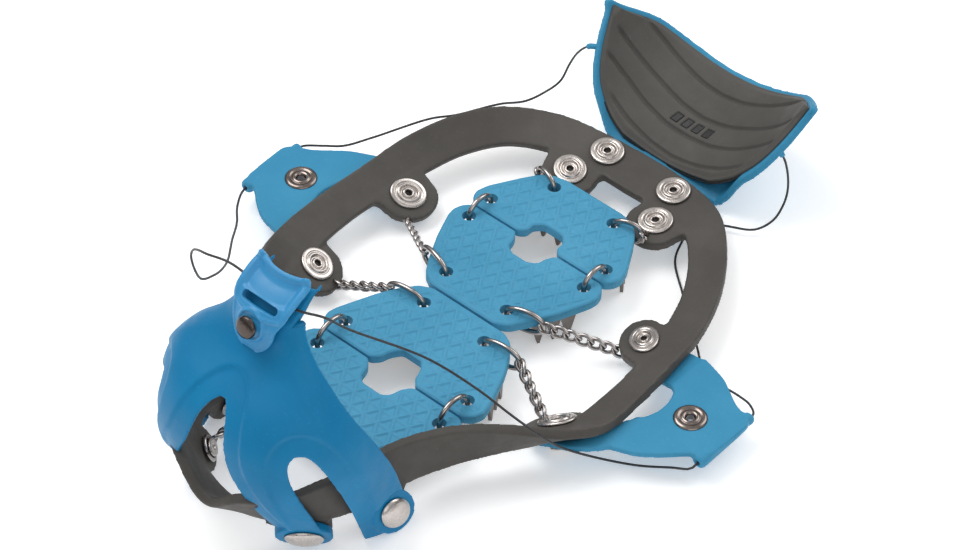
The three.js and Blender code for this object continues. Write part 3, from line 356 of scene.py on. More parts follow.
def tube(name, path, radius, sides=12, closed=False):
    """A round tube on a list of points."""
    path = np.asarray(path, float)
    count = len(path)
    if closed:
        tangent = np.roll(path, -1, 0) - np.roll(path, 1, 0)
    else:
        tangent = np.gradient(path, axis=0)
    tangent /= np.linalg.norm(tangent, axis=1, keepdims=True)
    side = np.cross(tangent[0], vec(0.3, 0.2, 1))
    sides_at = []
    for t in tangent:
        side = unit(side - t * side.dot(t))
        sides_at.append(side)
    points = []
    for p, t, s in zip(path, tangent, sides_at):
        up = np.cross(t, s)
        for k in range(sides):
            angle = 2 * math.pi * k / sides
            points.append(p + radius * (s * math.cos(angle) + up * math.sin(angle)))
    faces = []
    twist = 0
    if closed:
        first = np.array(points[:sides])
        start = points[(count - 1) * sides]
        twist = int(np.argmin(np.linalg.norm(first - start, axis=1)))
    for i in range(count if closed else count - 1):
        j = (i + 1) % count
        turn = twist if j == 0 else 0
        for k in range(sides):
            m = (k + 1) % sides
            faces.append((i * sides + k, j * sides + (k + turn) % sides,
                          j * sides + (m + turn) % sides, i * sides + m))
    if not closed:
        faces.append(tuple(range(sides)))
        faces.append(tuple(range(count * sides - 1, (count - 1) * sides - 1, -1)))
    return outward(mesh_object(name, points, faces))


def curve_point(p, t):
    """Centripetal Catmull-Rom between p[1] and p[2]."""
    d = [math.sqrt(max(np.linalg.norm(p[k + 1] - p[k]), 1e-9)) for k in range(3)]
    a = (p[1] - p[0]) / d[0] - (p[2] - p[0]) / (d[0] + d[1]) + (p[2] - p[1]) / d[1]
    b = (p[2] - p[1]) / d[1] - (p[3] - p[1]) / (d[1] + d[2]) + (p[3] - p[2]) / d[2]
    a = a * d[1]
    b = b * d[1]
    c2 = -3 * p[1] + 3 * p[2] - 2 * a - b
    c3 = 2 * p[1] - 2 * p[2] + a + b
    return p[1] + a * t + c2 * t * t + c3 * t * t * t


def closed_curve(points, u):
    """The point at a share u of a smooth closed curve through points."""
    n = len(points)
    s = (u % 1.0) * n
    i = int(math.floor(s))
    return curve_point([points[(i + k) % n] for k in (-1, 0, 1, 2)], s - i)


def open_curve(points, u):
    """The point at a share u of a smooth open curve through points."""
    n = len(points)
    s = min(max(u, 0.0), 1.0) * (n - 1)
    i = min(int(math.floor(s)), n - 2)
    before = points[i - 1] if i > 0 else 2 * points[0] - points[1]
    after = points[i + 2] if i + 2 < n else 2 * points[-1] - points[-2]
    return curve_point([before, points[i], points[i + 1], after], s - i)


def run_through(points, count):
    """Evenly spaced points on the smooth open curve through points."""
    points = [np.asarray(p, float) for p in points]
    fine = np.array([open_curve(points, k / 600) for k in range(601)])
    reach = np.concatenate([[0], np.cumsum(np.linalg.norm(np.diff(fine, axis=0), axis=1))])
    want = np.linspace(0, reach[-1], count)
    return np.stack([np.interp(want, reach, fine[:, k]) for k in range(3)], 1)


def smooth_ring(corners):
    """A smooth closed outline through corner points."""
    pts = [vec(x, y, 0) for x, y in corners]
    count = 6 * len(pts)
    return [tuple(closed_curve(pts, k / count)[:2]) for k in range(count)]


def filleted(corners, radius, steps=6):
    """A closed outline with its corners rounded to a radius."""
    out = []
    for i, q in enumerate(corners):
        out += corner_points(corners[i - 1], q, corners[(i + 1) % len(corners)], radius, 0.48, steps)
    return out


def soft_step(x):
    """Rises from 0 to 1 with flat ends."""
    c = np.clip(x, 0, 1)
    return c * c * (3 - 2 * c)


def finish_piece(obj, body, material, nodes=()):
    """Gives a piece its look, the CAD nodes it stands for, and the body that carries it."""
    obj.data.materials.clear()
    obj.data.materials.append(material)
    if nodes:
        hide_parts(*nodes)
    if body:
        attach(obj, body)
    return obj


# ---------------------------------------------------------------- materials
class Skin:
    """Builds a node material whose textures are fixed to the piece."""

    def __init__(self, name, color, roughness, metallic=0.0):
        self.mat = bpy.data.materials.new(name)
        self.mat.use_nodes = True
        self.nodes = self.mat.node_tree.nodes
        self.links = self.mat.node_tree.links
        self.shader = self.nodes["Principled BSDF"]
        self.shader.inputs["Base Color"].default_value = (*color, 1)
        self.shader.inputs["Roughness"].default_value = roughness
        self.shader.inputs["Metallic"].default_value = metallic
        self.place = self.nodes.new("ShaderNodeTexCoord").outputs["Object"]

    def noise(self, scale, detail):
        node = self.nodes.new("ShaderNodeTexNoise")
        node.inputs["Scale"].default_value = scale
        node.inputs["Detail"].default_value = detail
        node.inputs["Roughness"].default_value = 0.55
        self.links.new(self.place, node.inputs["Vector"])
        return node.outputs["Fac"]

    def cells(self, scale):
        node = self.nodes.new("ShaderNodeTexVoronoi")
        node.inputs["Scale"].default_value = scale
        self.links.new(self.place, node.inputs["Vector"])
        return node.outputs["Distance"]

    def ramp(self, value, stops):
        """Turns a value into colours, or greys where a stop is one number."""
        node = self.nodes.new("ShaderNodeValToRGB")
        elements = node.color_ramp.elements
        while len(elements) < len(stops):
            elements.new(0.5)
        for element, (place, color) in zip(elements, stops):
            element.position = place
            element.color = (*color, 1) if isinstance(color, tuple) else (color, color, color, 1)
        self.links.new(value, node.inputs["Fac"])
        return node.outputs["Color"]

    def tint(self, base, mask, strength, color):
        """Lays a colour over the base where the mask is high."""
        part = self.nodes.new("ShaderNodeMath")
        part.operation = "MULTIPLY"
        part.inputs[1].default_value = strength
        self.links.new(mask, part.inputs[0])
        node = self.nodes.new("ShaderNodeMix")
        node.data_type = "RGBA"
        node.inputs[7].default_value = (*color, 1)
        self.links.new(part.outputs[0], node.inputs[0])
        self.links.new(base, node.inputs[6])
        return node.outputs[2]

    def pointed(self, stops):
        return self.ramp(self.nodes.new("ShaderNodeNewGeometry").outputs["Pointiness"], stops)

    def edges(self, low=0.52, high=0.62):
        """High on convex edges, where painted highlights go."""
        return self.pointed([(low, 0.0), (high, 1.0)])

    def hollows(self, low=0.38, high=0.49):
        """High in hollows, where painted shade goes."""
        return self.pointed([(low, 1.0), (high, 0.0)])

    def color(self, value):
        self.links.new(value, self.shader.inputs["Base Color"])

    def rough(self, value):
        self.links.new(value, self.shader.inputs["Roughness"])

    def bump(self, value, strength, depth):
        """Adds relief, in mm, on top of any relief that is there."""
        node = self.nodes.new("ShaderNodeBump")
        node.inputs["Strength"].default_value = strength
        node.inputs["Distance"].default_value = depth * MM
        self.links.new(value, node.inputs["Height"])
        normal = self.shader.inputs["Normal"]
        if normal.is_linked:
            self.links.new(normal.links[0].from_socket, node.inputs["Normal"])
        self.links.new(node.outputs["Normal"], normal)


def lit(color, by, plus=0.0):
    """A colour scaled, with some light added."""
    return tuple(min(1, c * by + plus) for c in color)


def rubber(name, color, dark, light, roughness, grain=0.12, gloss=0.25):
    """Moulded elastomer: fine stipple, slow colour drift, painted highlights on convex edges, painted shade
    in hollows.
    """
    skin = Skin(name, color, roughness)
    base = skin.ramp(skin.noise(28, 5), [(0.3, dark), (0.55, color), (0.75, light)])
    # painted highlight: convex edges are tinted paler
    base = skin.tint(base, skin.edges(), 0.35, lit(color, 1.5, 0.02))
    # painted shade: hollows are tinted darker
    base = skin.tint(base, skin.hollows(), 0.45, lit(dark, 0.55))
    specks = skin.ramp(skin.noise(900, 2), [(0.62, 0.0), (0.74, 1.0)])
    skin.color(skin.tint(base, specks, 0.12, lit(light, 1.7, 0.03)))
    skin.rough(skin.ramp(skin.noise(160, 4), [(0.3, roughness - 0.09), (0.7, roughness + 0.1)]))
    skin.bump(skin.noise(2600, 3), grain, 0.25)
    skin.bump(skin.noise(240, 3), grain * 0.7, 0.5)
    skin.shader.inputs["Specular IOR Level"].default_value = gloss
    return skin.mat


def metal(name, color, dark, roughness, scratches=0.07, hollow_shade=0.4):
    """Plated or drawn metal with fine scratches, painted shade in the hollows and painted highlights on the
    edges.
    """
    skin = Skin(name, color, roughness, 1.0)
    base = skin.ramp(skin.noise(120, 4), [(0.25, dark), (0.55, color)])
    # painted shade: hollows are tinted darker
    base = skin.tint(base, skin.hollows(0.4, 0.5), hollow_shade, lit(dark, 0.35))
    # painted highlight: convex edges are tinted paler
    skin.color(skin.tint(base, skin.edges(0.53, 0.64), 0.6, lit(color, 1.2)))
    skin.rough(skin.ramp(skin.noise(420, 5), [(0.3, roughness * 0.7), (0.75, roughness * 1.5)]))
    skin.bump(skin.noise(1500, 4), scratches, 0.08)
    return skin.mat


def steel_sheet():
    """Hardened dark sheet steel, brown heat tint, and painted highlights on its edges and points."""
    skin = Skin("spike_steel", (0.055, 0.045, 0.04), 0.42, 0.85)
    brown = [(0.35, (0.035, 0.026, 0.022)), (0.6, (0.075, 0.05, 0.042)), (0.8, (0.1, 0.085, 0.08))]
    # painted highlight: edges and points are tinted paler
    skin.color(skin.tint(skin.ramp(skin.noise(90, 6), brown), skin.edges(0.51, 0.6), 0.7, (0.22, 0.2, 0.19)))
    skin.rough(skin.ramp(skin.noise(300, 5), [(0.3, 0.32), (0.75, 0.58)]))
    skin.bump(skin.noise(900, 4), 0.2, 0.15)
    return skin.mat


def lace_cloth():
    """Coated braided lace: fine cells of braid under a dull coat."""
    skin = Skin("lace_black", (0.012, 0.012, 0.013), 0.5)
    braid = skin.cells(2400)
    skin.color(skin.ramp(braid, [(0.1, (0.008, 0.008, 0.009)), (0.7, (0.03, 0.03, 0.032))]))
    skin.rough(skin.ramp(braid, [(0.1, 0.6), (0.7, 0.4)]))
    skin.bump(braid, 0.35, 0.12)
    return skin.mat


def inner_black():
    """The unlit inside of a hollow rivet."""
    skin = Skin("rivet_bore", (0.012, 0.01, 0.01), 0.6, 0.4)
    skin.color(skin.ramp(skin.noise(500, 4), [(0.3, (0.006, 0.005, 0.005)), (0.7, (0.03, 0.025, 0.022))]))
    skin.bump(skin.noise(900, 3), 0.2, 0.1)
    return skin.mat


# name, colour, darker, lighter, roughness
BAND = rubber(
    "band_rubber", (0.07, 0.064, 0.057), (0.056, 0.051, 0.046), (0.085, 0.078, 0.07), 0.58, gloss=0.3)
HOOD_SKIN = rubber(
    "hood_blue", (0.004, 0.19, 0.4), (0.003, 0.165, 0.355), (0.008, 0.215, 0.44), 0.46, gloss=0.2)
MOULD = rubber("moulding_blue", (0.036, 0.245, 0.42), (0.03, 0.22, 0.39), (0.046, 0.27, 0.45), 0.55)
PLATE = rubber("plate_blue", (0.062, 0.285, 0.455), (0.05, 0.255, 0.415), (0.075, 0.315, 0.49), 0.6, 0.2)
CLIP = rubber("clip_blue", (0.036, 0.265, 0.53), (0.03, 0.24, 0.49), (0.046, 0.295, 0.57), 0.4, 0.06, 0.4)
PAD = rubber("pad_grey", (0.086, 0.082, 0.075), (0.073, 0.069, 0.063), (0.1, 0.095, 0.087), 0.66)
BLACK = rubber("dial_black", (0.02, 0.02, 0.021), (0.014, 0.014, 0.015), (0.028, 0.028, 0.03), 0.45, 0.08)
NICKEL = metal("rivet_nickel", (0.56, 0.515, 0.485), (0.46, 0.415, 0.39), 0.27)
DARK_NICKEL = metal("dark_nickel", (0.25, 0.21, 0.19), (0.13, 0.105, 0.095), 0.2)
DARK_CAP = metal("dark_cap", (0.1, 0.082, 0.074), (0.055, 0.045, 0.04), 0.23)
CHAIN = metal("chain_steel", (0.4, 0.375, 0.365), (0.24, 0.215, 0.205), 0.2, 0.12, 0.6)
SPIKE = steel_sheet()
LACE = lace_cloth()
BORE = inner_black()


# ---------------------------------------------------------------- laces
LACES = {
    "lace_cup_left": [
        (-119, 44.5, 10.6), (-119, 48.5, 10.5), (-113.5, 55.5, 9.3), (-108, 62, 8.2), (-103.8, 76, 6),
        (-95.1, 102.5, 4), (-89.2, 112.5, 3), (-79.8, 130.3, 3), (-73, 138.9, 3), (-69.7, 148.2, 4),
        (-66.6, 154.5, 8), (-65.6, 159, 15), (-62.2, 160, 23), (-58.5, 160.5, 28), (-55.9, 160.8, 30.2)],
    "lace_toe_left": [
        (-119, 17, 10.6), (-118.6, 12, 10.5), (-113, 3, 11.5), (-104.9, -5.4, 14), (-93.1, -20, 22),
        (-80.8, -34.5, 30), (-71.3, -47.1, 40), (-64, -58.6, 50), (-58.6, -70.1, 60), (-53.1, -78.7, 75),
        (-49.9, -83.2, 88), (-46.4, -85.2, 95), (-41.2, -87.4, 100), (-34.2, -89.5, 104),
        (-23.8, -88.5, 106), (-13.5, -89.2, 106.2), (-9, -91, 106.3), (-4, -93, 106.4)],
    "lace_toe_right": [
        (-3.3, -93.1, 106.4), (4, -93, 106.4), (9, -91, 106.3), (14.8, -89.2, 106.2), (20.2, -84.5, 103.8),
        (20.5, -70, 86), (33.8, -40.3, 56), (49.5, -29.1, 41), (63, -26.3, 35), (75.1, -25.5, 33),
        (79.4, -17.3, 22), (86.5, -1, 7), (98.8, 9, 3.5), (110.5, 14.5, 6.5), (118.7, 16.5, 10.3),
        (119, 19.6, 10.6), (119, 23.5, 10.6)],
    "lace_cup_right": [
        (119, 51, 10.6), (119, 54.8, 10.5), (113.5, 59.5, 8.8), (107, 61.5, 7.2), (89.4, 62.6, 6.5),
        (75.3, 73.9, 4), (62, 86, 2.5), (49.2, 96.3, 1.5), (36, 108, 1.2), (31.9, 116.1, 1.5),
        (29.7, 128.6, 2.5), (38.1, 135.8, 3), (50.1, 142.7, 3.5), (53.2, 151, 5), (53.2, 157, 9),
        (52.7, 160, 14), (51.6, 161, 22), (49.6, 160.6, 30), (47.9, 160.1, 33.2)],
}


def lace(name, node, path):
    """A free stretch of lace along evenly spaced points."""
    obj = tube(name, path, LACE_R, 12)
    finish_piece(obj, None, LACE, (node,))
    return obj


def lay_laces():
    """Lays the toe laces from the wings, and each cup lace in two, parted where it lies on the ground."""
    for side, sign in (("left", -1), ("right", 1)):
        toe = run_through(LACES["lace_toe_" + side], 110)
        cup = run_through(LACES["lace_cup_" + side], 130)
        for name, node, path in (("toe_lace_", "lace_toe_", toe), ("cup_lace_front_", "lace_cup_", cup[:66])):
            run = lace(name + side, node + side, path)
            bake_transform(run)
        rear = lace("cup_lace_rear_" + side, "lace_cup_" + side, cup[65:])
        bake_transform(rear)


lay_laces()


# ---------------------------------------------------------------- band
# inner and outer edge of the strip, six numbers a station; the two sides differ up to the toe
RIGHT = [
    (0, 117, 12.5, 0, 137.5, 13.8), (18, 117, 12.5, 20, 136.5, 14.2), (34, 114, 12.5, 41, 130, 15),
    (46, 103, 12.5, 58, 113, 15.5), (57, 86, 12.5, 71, 92, 16), (63, 70, 12.5, 79, 70, 16),
    (67, 52, 12.5, 82, 49, 16.8), (70, 30, 12.5, 84, 26, 17), (69.5, 8, 12, 84.5, 6, 18.5),
    (64, -11, 11, 78, -10, 23.5), (54.5, -26, 9.5, 60, -28, 28), (46.5, -41, 9, 47.5, -42, 29.5),
    (41.5, -55, 9.5, 39.5, -57, 30.5), (40, -67, 11.5, 36.5, -69, 32), (39, -81, 13, 35.5, -84, 34),
    (35, -96, 15.5, 32, -104, 36.5), (26, -106.5, 16.5, 26.5, -118, 37), (13.5, -113, 14.5, 14, -126, 35),
    (0, -114, 12, 0, -129, 26)]
LEFT = [
    (-18, 117, 12.5, -20.5, 136.5, 14.4), (-38, 114, 12.5, -46, 130, 17), (-53, 105, 12.5, -66, 114, 20),
    (-62, 90, 12.5, -76, 96, 21), (-66.5, 72, 12.5, -82, 73, 21), (-69, 52, 12.5, -84, 50, 20),
    (-71, 30, 12.5, -86, 27, 19), (-70, 8, 12, -86, 6, 18.5), (-65, -11, 11, -80, -13, 22),
    (-56.5, -28, 9.5, -64, -33, 26), (-47.5, -42, 9, -50, -46, 29), (-41.5, -55, 9.5, -40, -58, 30.5)]
TOE_SIDE = [(-a, b, c, -d, e, f) for a, b, c, d, e, f in RIGHT[13:18]]
LOOP = RIGHT + (LEFT + TOE_SIDE)[::-1]
INNER = [vec(a, b, c + BAND_LIFT) for a, b, c, _, _, _ in LOOP]
OUTER = [vec(a, b, c + BAND_LIFT) for _, _, _, a, b, c in LOOP]


def band_frame(u):
    """The strip's inner and outer point at a share of its length, and its three axes."""
    a = closed_curve(INNER, u)
    b = closed_curve(OUTER, u)
    step = 0.004
    ahead = sum(closed_curve(rim, u + step) - closed_curve(rim, u - step) for rim in (INNER, OUTER))
    t = unit(ahead)
    c = unit(b - a)
    return a, b, t, c, unit(np.cross(t, c))


def lobe_frame(station, inset):
    """The seat of a rivet on the band, at a station of its loop."""
    a, _, t, c, n = band_frame(station / len(LOOP))
    return {"o": a - c * inset, "t": t, "c": c, "n": n}


SIDE_LOBES = {
    "right_1": lobe_frame(8.42, 3.5), "right_2": lobe_frame(5.85, 4), "right_3": lobe_frame(1.35, 6),
    "left_1": lobe_frame(27.58, 3.5), "left_2": lobe_frame(30.15, 4), "left_3": lobe_frame(34.65, 6)}
TOE_LOBES = {
    "right_rear": lobe_frame(13.75, 5), "right_front": lobe_frame(16, 5),
    "left_rear": lobe_frame(22.25, 5), "left_front": lobe_frame(20, 5)}
HEEL_SEATS = {"right": lobe_frame(0.93, -11), "left": lobe_frame(35.07, -11)}
SECTION = ((-1, 1), (1, 1), (1, -1), (-1, -1))


def band_ring(extra):
    """The band's strip, with four points along each side of its section."""
    steps = 360
    points = []
    for i in range(steps):
        a, b, _, c, n = band_frame(i / steps)
        half = np.linalg.norm(b - a) / 2 + extra
        mid = (a + b) / 2 - n * BAND_T / 2
        thick = BAND_T / 2 + extra
        for k, (x, y) in enumerate(SECTION):
            next_x, next_y = SECTION[(k + 1) % 4]
            for share in (0, 0.25, 0.5, 0.75):
                across = half * (x + (next_x - x) * share)
                points.append(mid + c * across + n * thick * (y + (next_y - y) * share))
    faces = []
    for i in range(steps):
        j = (i + 1) % steps
        for k in range(16):
            m = (k + 1) % 16
            faces.append((i * 16 + k, j * 16 + k, j * 16 + m, i * 16 + m))
    return outward(mesh_object("ring", points, faces))


def disc(name, f, radius, low, high, count=48):
    turns = circle(count)
    return prism(name, [(radius * math.cos(a), radius * math.sin(a)) for a in turns], f, low, high)


def bore_tool(f, radius, low, high):
    return disc("tool", f, radius, low, high, 40)


def lobe(f, radius, extra):
    """A round lobe with a neck that flares into the strip."""
    r = radius + extra
    turns = [math.radians(200 + 140 * k / 32) for k in range(33)]
    flare = [(r * 0.985, 1.0), (r * 1.0, 3.0), (r * 1.07, 5.2), (r * 1.22, 7.2)]
    outline = [(r * math.cos(a), r * math.sin(a)) for a in turns] + flare + [(-x, y) for x, y in flare[::-1]]
    return prism("lobe", outline, f, -LOBE_T - extra, LOBE_TOP + extra)


def band_parts(extra):
    """The strip and its lobes, all grown by extra."""
    lobes = [lobe(f, LOBE_R, extra) for f in SIDE_LOBES.values()]
    return [band_ring(extra)] + lobes + [lobe(f, TOE_LOBE_R, extra) for f in TOE_LOBES.values()]


def floor_cut(obj, height=0.3):
    """Keeps a moulded piece a little off the ground."""
    low = (height - ORIGIN[2]) * MM
    for v in obj.data.vertices:
        v.co.z = max(v.co.z, low)


def make_band():
    obj = fuse("band_moulding", band_parts(0), 0.75, 4)
    floor_cut(obj, 0.5)
    return finish_piece(obj, "harness", BAND, ("band",))


make_band()


# ---------------------------------------------------------------- rivets
STACK = LOBE_T + GAP + ARM_T + GAP + EYE_T + GAP
FLANGE_T = 0.8
SIDE_LOW = -STACK - FLANGE_T
HEEL_LOW = -BAND_T - 2 * GAP - ARM_T - FLANGE_T - 0.6
# radius, and height above the seat, over the face of a ringed head
HEAD_RINGS = (
    (RIVET_R, 0), (RIVET_R, 0.55), (7.0, 0.95), (5.7, 1.1), (5.35, 0.8), (4.9, 0.8), (4.6, 1.35), (4.1, 1.6),
    (3.6, 1.4), (3.3, 0.35), (2.6, 0.2), (2.3, 1.0), (1.8, 1.15), (1.45, 0.9), (1.35, -0.4), (1.3, -1.2),
    (0, -1.4))


def ring_rivet(name, f, low, node):
    """A stepped, ringed rivet head with a hollow centre, its shank and its rear flange."""
    high = low + FLANGE_T
    flange = [(0, low), (4.6, low), (4.6, high), (SHANK_R, high), (SHANK_R, HEAD)]
    head = soft_profile(flange + [(r, HEAD + h) for r, h in HEAD_RINGS], 0.25)
    finish_piece(lathe(name, head, f, 72), "harness", NICKEL, (node,))
    bore = [(0, -1.3), (1.28, -1.15), (1.28, -0.2), (0.9, -0.1), (0, -0.25)]
    plug = lathe(name + "_bore", [(r, HEAD + h) for r, h in bore], f, 32)
    finish_piece(plug, "harness", BORE)


def cap_rivet(name, f, node):
    """A domed cap outside a hood leg, with a plain washer head inside the band."""
    out = -TOE_OUT - GAP
    inner = HEAD + EYE_T + GAP
    body = soft_profile([
        (0, out - 2.6), (2.2, out - 2.52), (4.2, out - 2.25), (5.9, out - 1.65), (6.7, out - 1.1),
        (7.2, out - 0.45), (7.2, out), (SHANK_R, out), (SHANK_R, inner), (4.4, inner), (4.4, inner + 0.6),
        (3.6, inner + 0.8), (1.6, inner + 0.7), (1.4, inner + 0.2), (0, inner + 0.1)], 0.3)
    finish_piece(lathe(name, body, f, 72), "harness", NICKEL, (node,))


for key, f in SIDE_LOBES.items():
    ring_rivet("ringed_rivet_" + key, f, SIDE_LOW, "lobe_rivet_" + key)
for key, f in HEEL_SEATS.items():
    ring_rivet("ringed_rivet_heel_" + key, f, HEEL_LOW, "heel_rivet_" + key)
for key, f in TOE_LOBES.items():
    cap_rivet("domed_rivet_" + key, f, "toe_rivet_" + key)


# ---------------------------------------------------------------- side wings
HINGE_X = 88.4
HINGE_Z = 12.5
WING_X = 103.5
WING_Y = 33
GUIDE_X = 119
SWING = 0.1


def ribbon(name, stops):
    """A flat strip, as thick as an arm, through (centre, width direction, half width, normal)."""
    rows, cols = 30, 8
    keys = [np.concatenate([p, unit(w), [h], unit(n)]) for p, w, h, n in stops]
    outer = np.empty((rows + 1, cols + 1, 3))
    inner = np.empty((rows + 1, cols + 1, 3))
    for i in range(rows + 1):
        row = open_curve(keys, i / rows)
        normal = unit(row[7:10])
        for j in range(cols + 1):
            edge = row[:3] + unit(row[3:6]) * row[6] * (2 * j / cols - 1)
            outer[i, j] = edge + normal * ARM_T / 2
            inner[i, j] = edge - normal * ARM_T / 2
    return shell(name, outer, inner)


def arm_end(f):
    """The round end of an arm under a lobe."""
    return disc("end", f, ARM_END_R, ARM_DEPTH - ARM_T / 2, ARM_DEPTH + ARM_T / 2)


def wing_arm(sign, f, y):
    """An arm from under a lobe out to the wing's fold."""
    n = f["n"]
    half = 10
    across = -sign * Y
    end = vec(sign * (HINGE_X + 1), y, HINGE_Z)
    mid = at(f, 0, 13, ARM_DEPTH)
    mid = mid + (end - mid) * 0.15
    late = mid + (end - mid) * 0.6
    strip = ribbon("arm", [
        (at(f, 0, 0, ARM_DEPTH), f["t"], 9.6, n), (at(f, 0, 7, ARM_DEPTH), f["t"], 9.4, n),
        (mid, f["t"] * 0.6 + across * 0.4, half, n), (late, across, half, n * 0.4 + Z * 0.6),
        (end, across, half, Z)])
    return [strip, arm_end(f)]


def lean(sign, d):
    """How far the flap's outline shifts along the boot, d away from its fold."""
    return sign * SWING * d


def wing_flap(sign):
    """The flap, as (distance from the fold, place along the boot), and the lace guide on its outer edge."""
    corners = [
        (-2, 1.0), (0, 1.5), (11.5, 5), (19.5, 11), (25, 16.5), (29, 18.4), (33.2, 21), (34.2, 44.5),
        (29.5, 48), (24.5, 49.4), (19.5, 53), (11.5, 59), (0, 63.5), (-2, 63.8), (-2, 42.6), (0, 42.5),
        (2.2, 38), (3.2, 31.5), (2, 26), (0, 22), (-2, 21.8)]
    outline = [(sign * (HINGE_X + 0.25 + d), y + lean(sign, d)) for d, y in filleted(corners, 3.5, 6)]
    flap = prism("flap", outline, FLAT, HINGE_Z - ARM_T / 2, HINGE_Z + ARM_T / 2)
    middle = vec(sign * GUIDE_X, 33.5 + lean(sign, GUIDE_X - HINGE_X), HINGE_Z - 1.7)
    guide = lathe("guide", [
        (0, -16.5), (2.2, -16.5), (2.9, -15.9), (3.15, -14.8), (3.1, -9), (3.0, 6), (2.7, 11), (2.2, 12.4),
        (2.3, 13.2), (2.6, 13.8), (2.6, 15.6), (2.2, 16.4), (0, 16.5)], frame_at(middle, X, Y), 32)
    return [flap, guide]


def wing_grommet(side, f):
    """The ringed grommet through a flap."""
    half = ARM_T / 2
    face = (
        (1.75, 0.3), (2.2, 0.9), (2.9, 1.15), (3.5, 0.95), (3.9, 0.6), (4.4, 0.62), (5.0, 0.95), (5.7, 1.0),
        (6.4, 0.7), (6.85, 0.25), (6.85, 0.05), (3.2, 0.02))
    back = ((3.2, 0.02), (6, 0.05), (6, 0.6), (4, 0.9), (2.2, 0.9), (1.75, 0.2))
    profile = [(1.75, -half - 0.2)] + [(r, half + h) for r, h in face] + [(r, -half - h) for r, h in back]
    ring = lathe("grommet_" + side, soft_profile(profile, 0.2)[:-1], f)
    finish_piece(ring, "wing_%s_flap" % side, DARK_NICKEL, ("wing_grommet_" + side,))


def make_wing(sign, side):
    """A wing is one moulding: its flap bends up where it leaves the arms."""
    lobes = [SIDE_LOBES[side + "_1"], SIDE_LOBES[side + "_2"]]
    parts = wing_flap(sign) + wing_arm(sign, lobes[0], 11.8) + wing_arm(sign, lobes[1], 53)
    obj = fuse("wing_moulding_" + side, parts, 0.62, 4)
    centre = frame_at(vec(sign * WING_X, WING_Y + lean(sign, WING_X - HINGE_X), HINGE_Z), X, Z)
    carve(obj, bore_tool(centre, 3.3, -8, 8))
    carve(obj, bore_tool(frame_at(vec(sign * GUIDE_X, 33, HINGE_Z - 1.7), X, Y), 1.15, -30, 30))
    for f in lobes:
        carve(obj, bore_tool(f, SHANK_BORE, -14, -2))
    floor_cut(obj)
    names = ["wing_" + side, "wing_%s_arm_front" % side, "wing_%s_arm_rear" % side]
    finish_piece(obj, None, MOULD, names)
    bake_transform(obj)
    wing_grommet(side, centre)


make_wing(1, "right")
make_wing(-1, "left")


# ---------------------------------------------------------------- toe hood
# height, half width, front, rear, sharpness of the corner, a row a level
HOOD = [
    (1.5, 50.2, -112, -68, 2.5), (9, 50, -117, -69, 2.5), (17, 49.8, -122.5, -71, 2.5),
    (27, 50, -127.5, -74, 2.5), (38, 50.2, -130.5, -78, 2.5), (50, 49.5, -131, -83, 2.5),
    (60, 47, -129.5, -87, 2.4), (68, 43, -125.5, -90, 2.3), (74, 39, -119.5, -91.5, 2.3),
    (79, 34.8, -112, -92, 2.2), (84, 29.8, -105, -92, 2.2), (90, 24, -100.5, -91.5, 2.2),
    (97, 19, -98, -90, 2.2), (102.5, 16.6, -94.5, -87, 2.2), (106.5, 15.4, -88.5, -82, 2.2),
    (109.5, 14.8, -82, -76, 2.2)]
HOOD_FRONT = [vec(a, f, z) for z, a, f, _, _ in HOOD]
HOOD_REAR = [vec(r, n * 10, z) for z, _, _, r, n in HOOD]
TOE_ARCH = [
    (0, 72.5), (3.5, 70.5), (6.5, 65), (8.5, 58), (11.5, 49), (15.5, 41), (19, 33), (21.5, 24), (22.5, 14),
    (22.5, 5), (20, -8)]
SIDE_ARCH = [
    (-57, 62), (-52.5, 61), (-47, 54), (-42, 42), (-38.5, 30), (-35.5, 18), (-33, 6), (-31, -8), (-44.5, -8),
    (-47, 8), (-49.5, 18), (-53, 30), (-57, 42), (-60, 52), (-60, 59)]


def hood_grid(cols, rows):
    """Rows of evenly spaced points round the hood, from its foot to its tongue."""
    side = np.linspace(-1, 1, 401) * math.pi / 2
    grid = np.empty((rows + 1, cols + 1, 3))
    for i in range(rows + 1):
        key = open_curve(HOOD_FRONT, i / rows)
        back = open_curve(HOOD_REAR, i / rows)
        power = 20 / back[1]
        x = key[0] * np.sign(side) * np.abs(np.sin(side)) ** power
        y = back[0] - (back[0] - key[1]) * np.abs(np.cos(side)) ** power
        line = np.stack([x, y, np.full_like(x, key[2])], 1)
        reach = np.concatenate([[0], np.cumsum(np.linalg.norm(np.diff(line, axis=0), axis=1))])
        want = np.linspace(0, reach[-1], cols + 1)
        grid[i] = np.stack([np.interp(want, reach, line[:, k]) for k in range(3)], 1)
    return grid


def inside_distance(points, outline):
    """Distance of 2-D points to an outline; negative inside it."""
    ring = np.asarray(outline, float)
    best = np.full(len(points), 1e9)
    wind = np.zeros(len(points), bool)
    for p, q in zip(ring, np.roll(ring, -1, 0)):
        d = q - p
        t = np.clip(((points - p) @ d) / max(d @ d, 1e-12), 0, 1)
        best = np.minimum(best, np.linalg.norm(points - p - t[:, None] * d, axis=1))
        crosses = (p[1] > points[:, 1]) != (q[1] > points[:, 1])
        rise = d[1] if abs(d[1]) > 1e-12 else 1e-12
        wind ^= crosses & (points[:, 0] < p[0] + (points[:, 1] - p[1]) * d[0] / rise)
    return np.where(wind, -best, best)


FRONT_ARCH = smooth_ring(TOE_ARCH + [(-x, z) for x, z in TOE_ARCH[:0:-1]])
RIGHT_ARCH = smooth_ring(SIDE_ARCH)
ARCH_FRAMES = (
    (FRONT_ARCH, frame_at(vec(0, -98, 0), X, -Y)),
    (RIGHT_ARCH, frame_at(vec(42, -42, 0), unit(X + Y), unit(X - Y))),
    ([(-x, z) for x, z in RIGHT_ARCH], frame_at(vec(-42, -42, 0), unit(X - Y), unit(-X - Y))))


def step_down(distance, edge, width):
    """0 far outside an edge, 1 well inside it."""
    return soft_step((edge - distance) / width + 0.5)


ARCH_FACET = 8.6
REAR_FACET = 13.0
TONGUE_TOP = 109.6


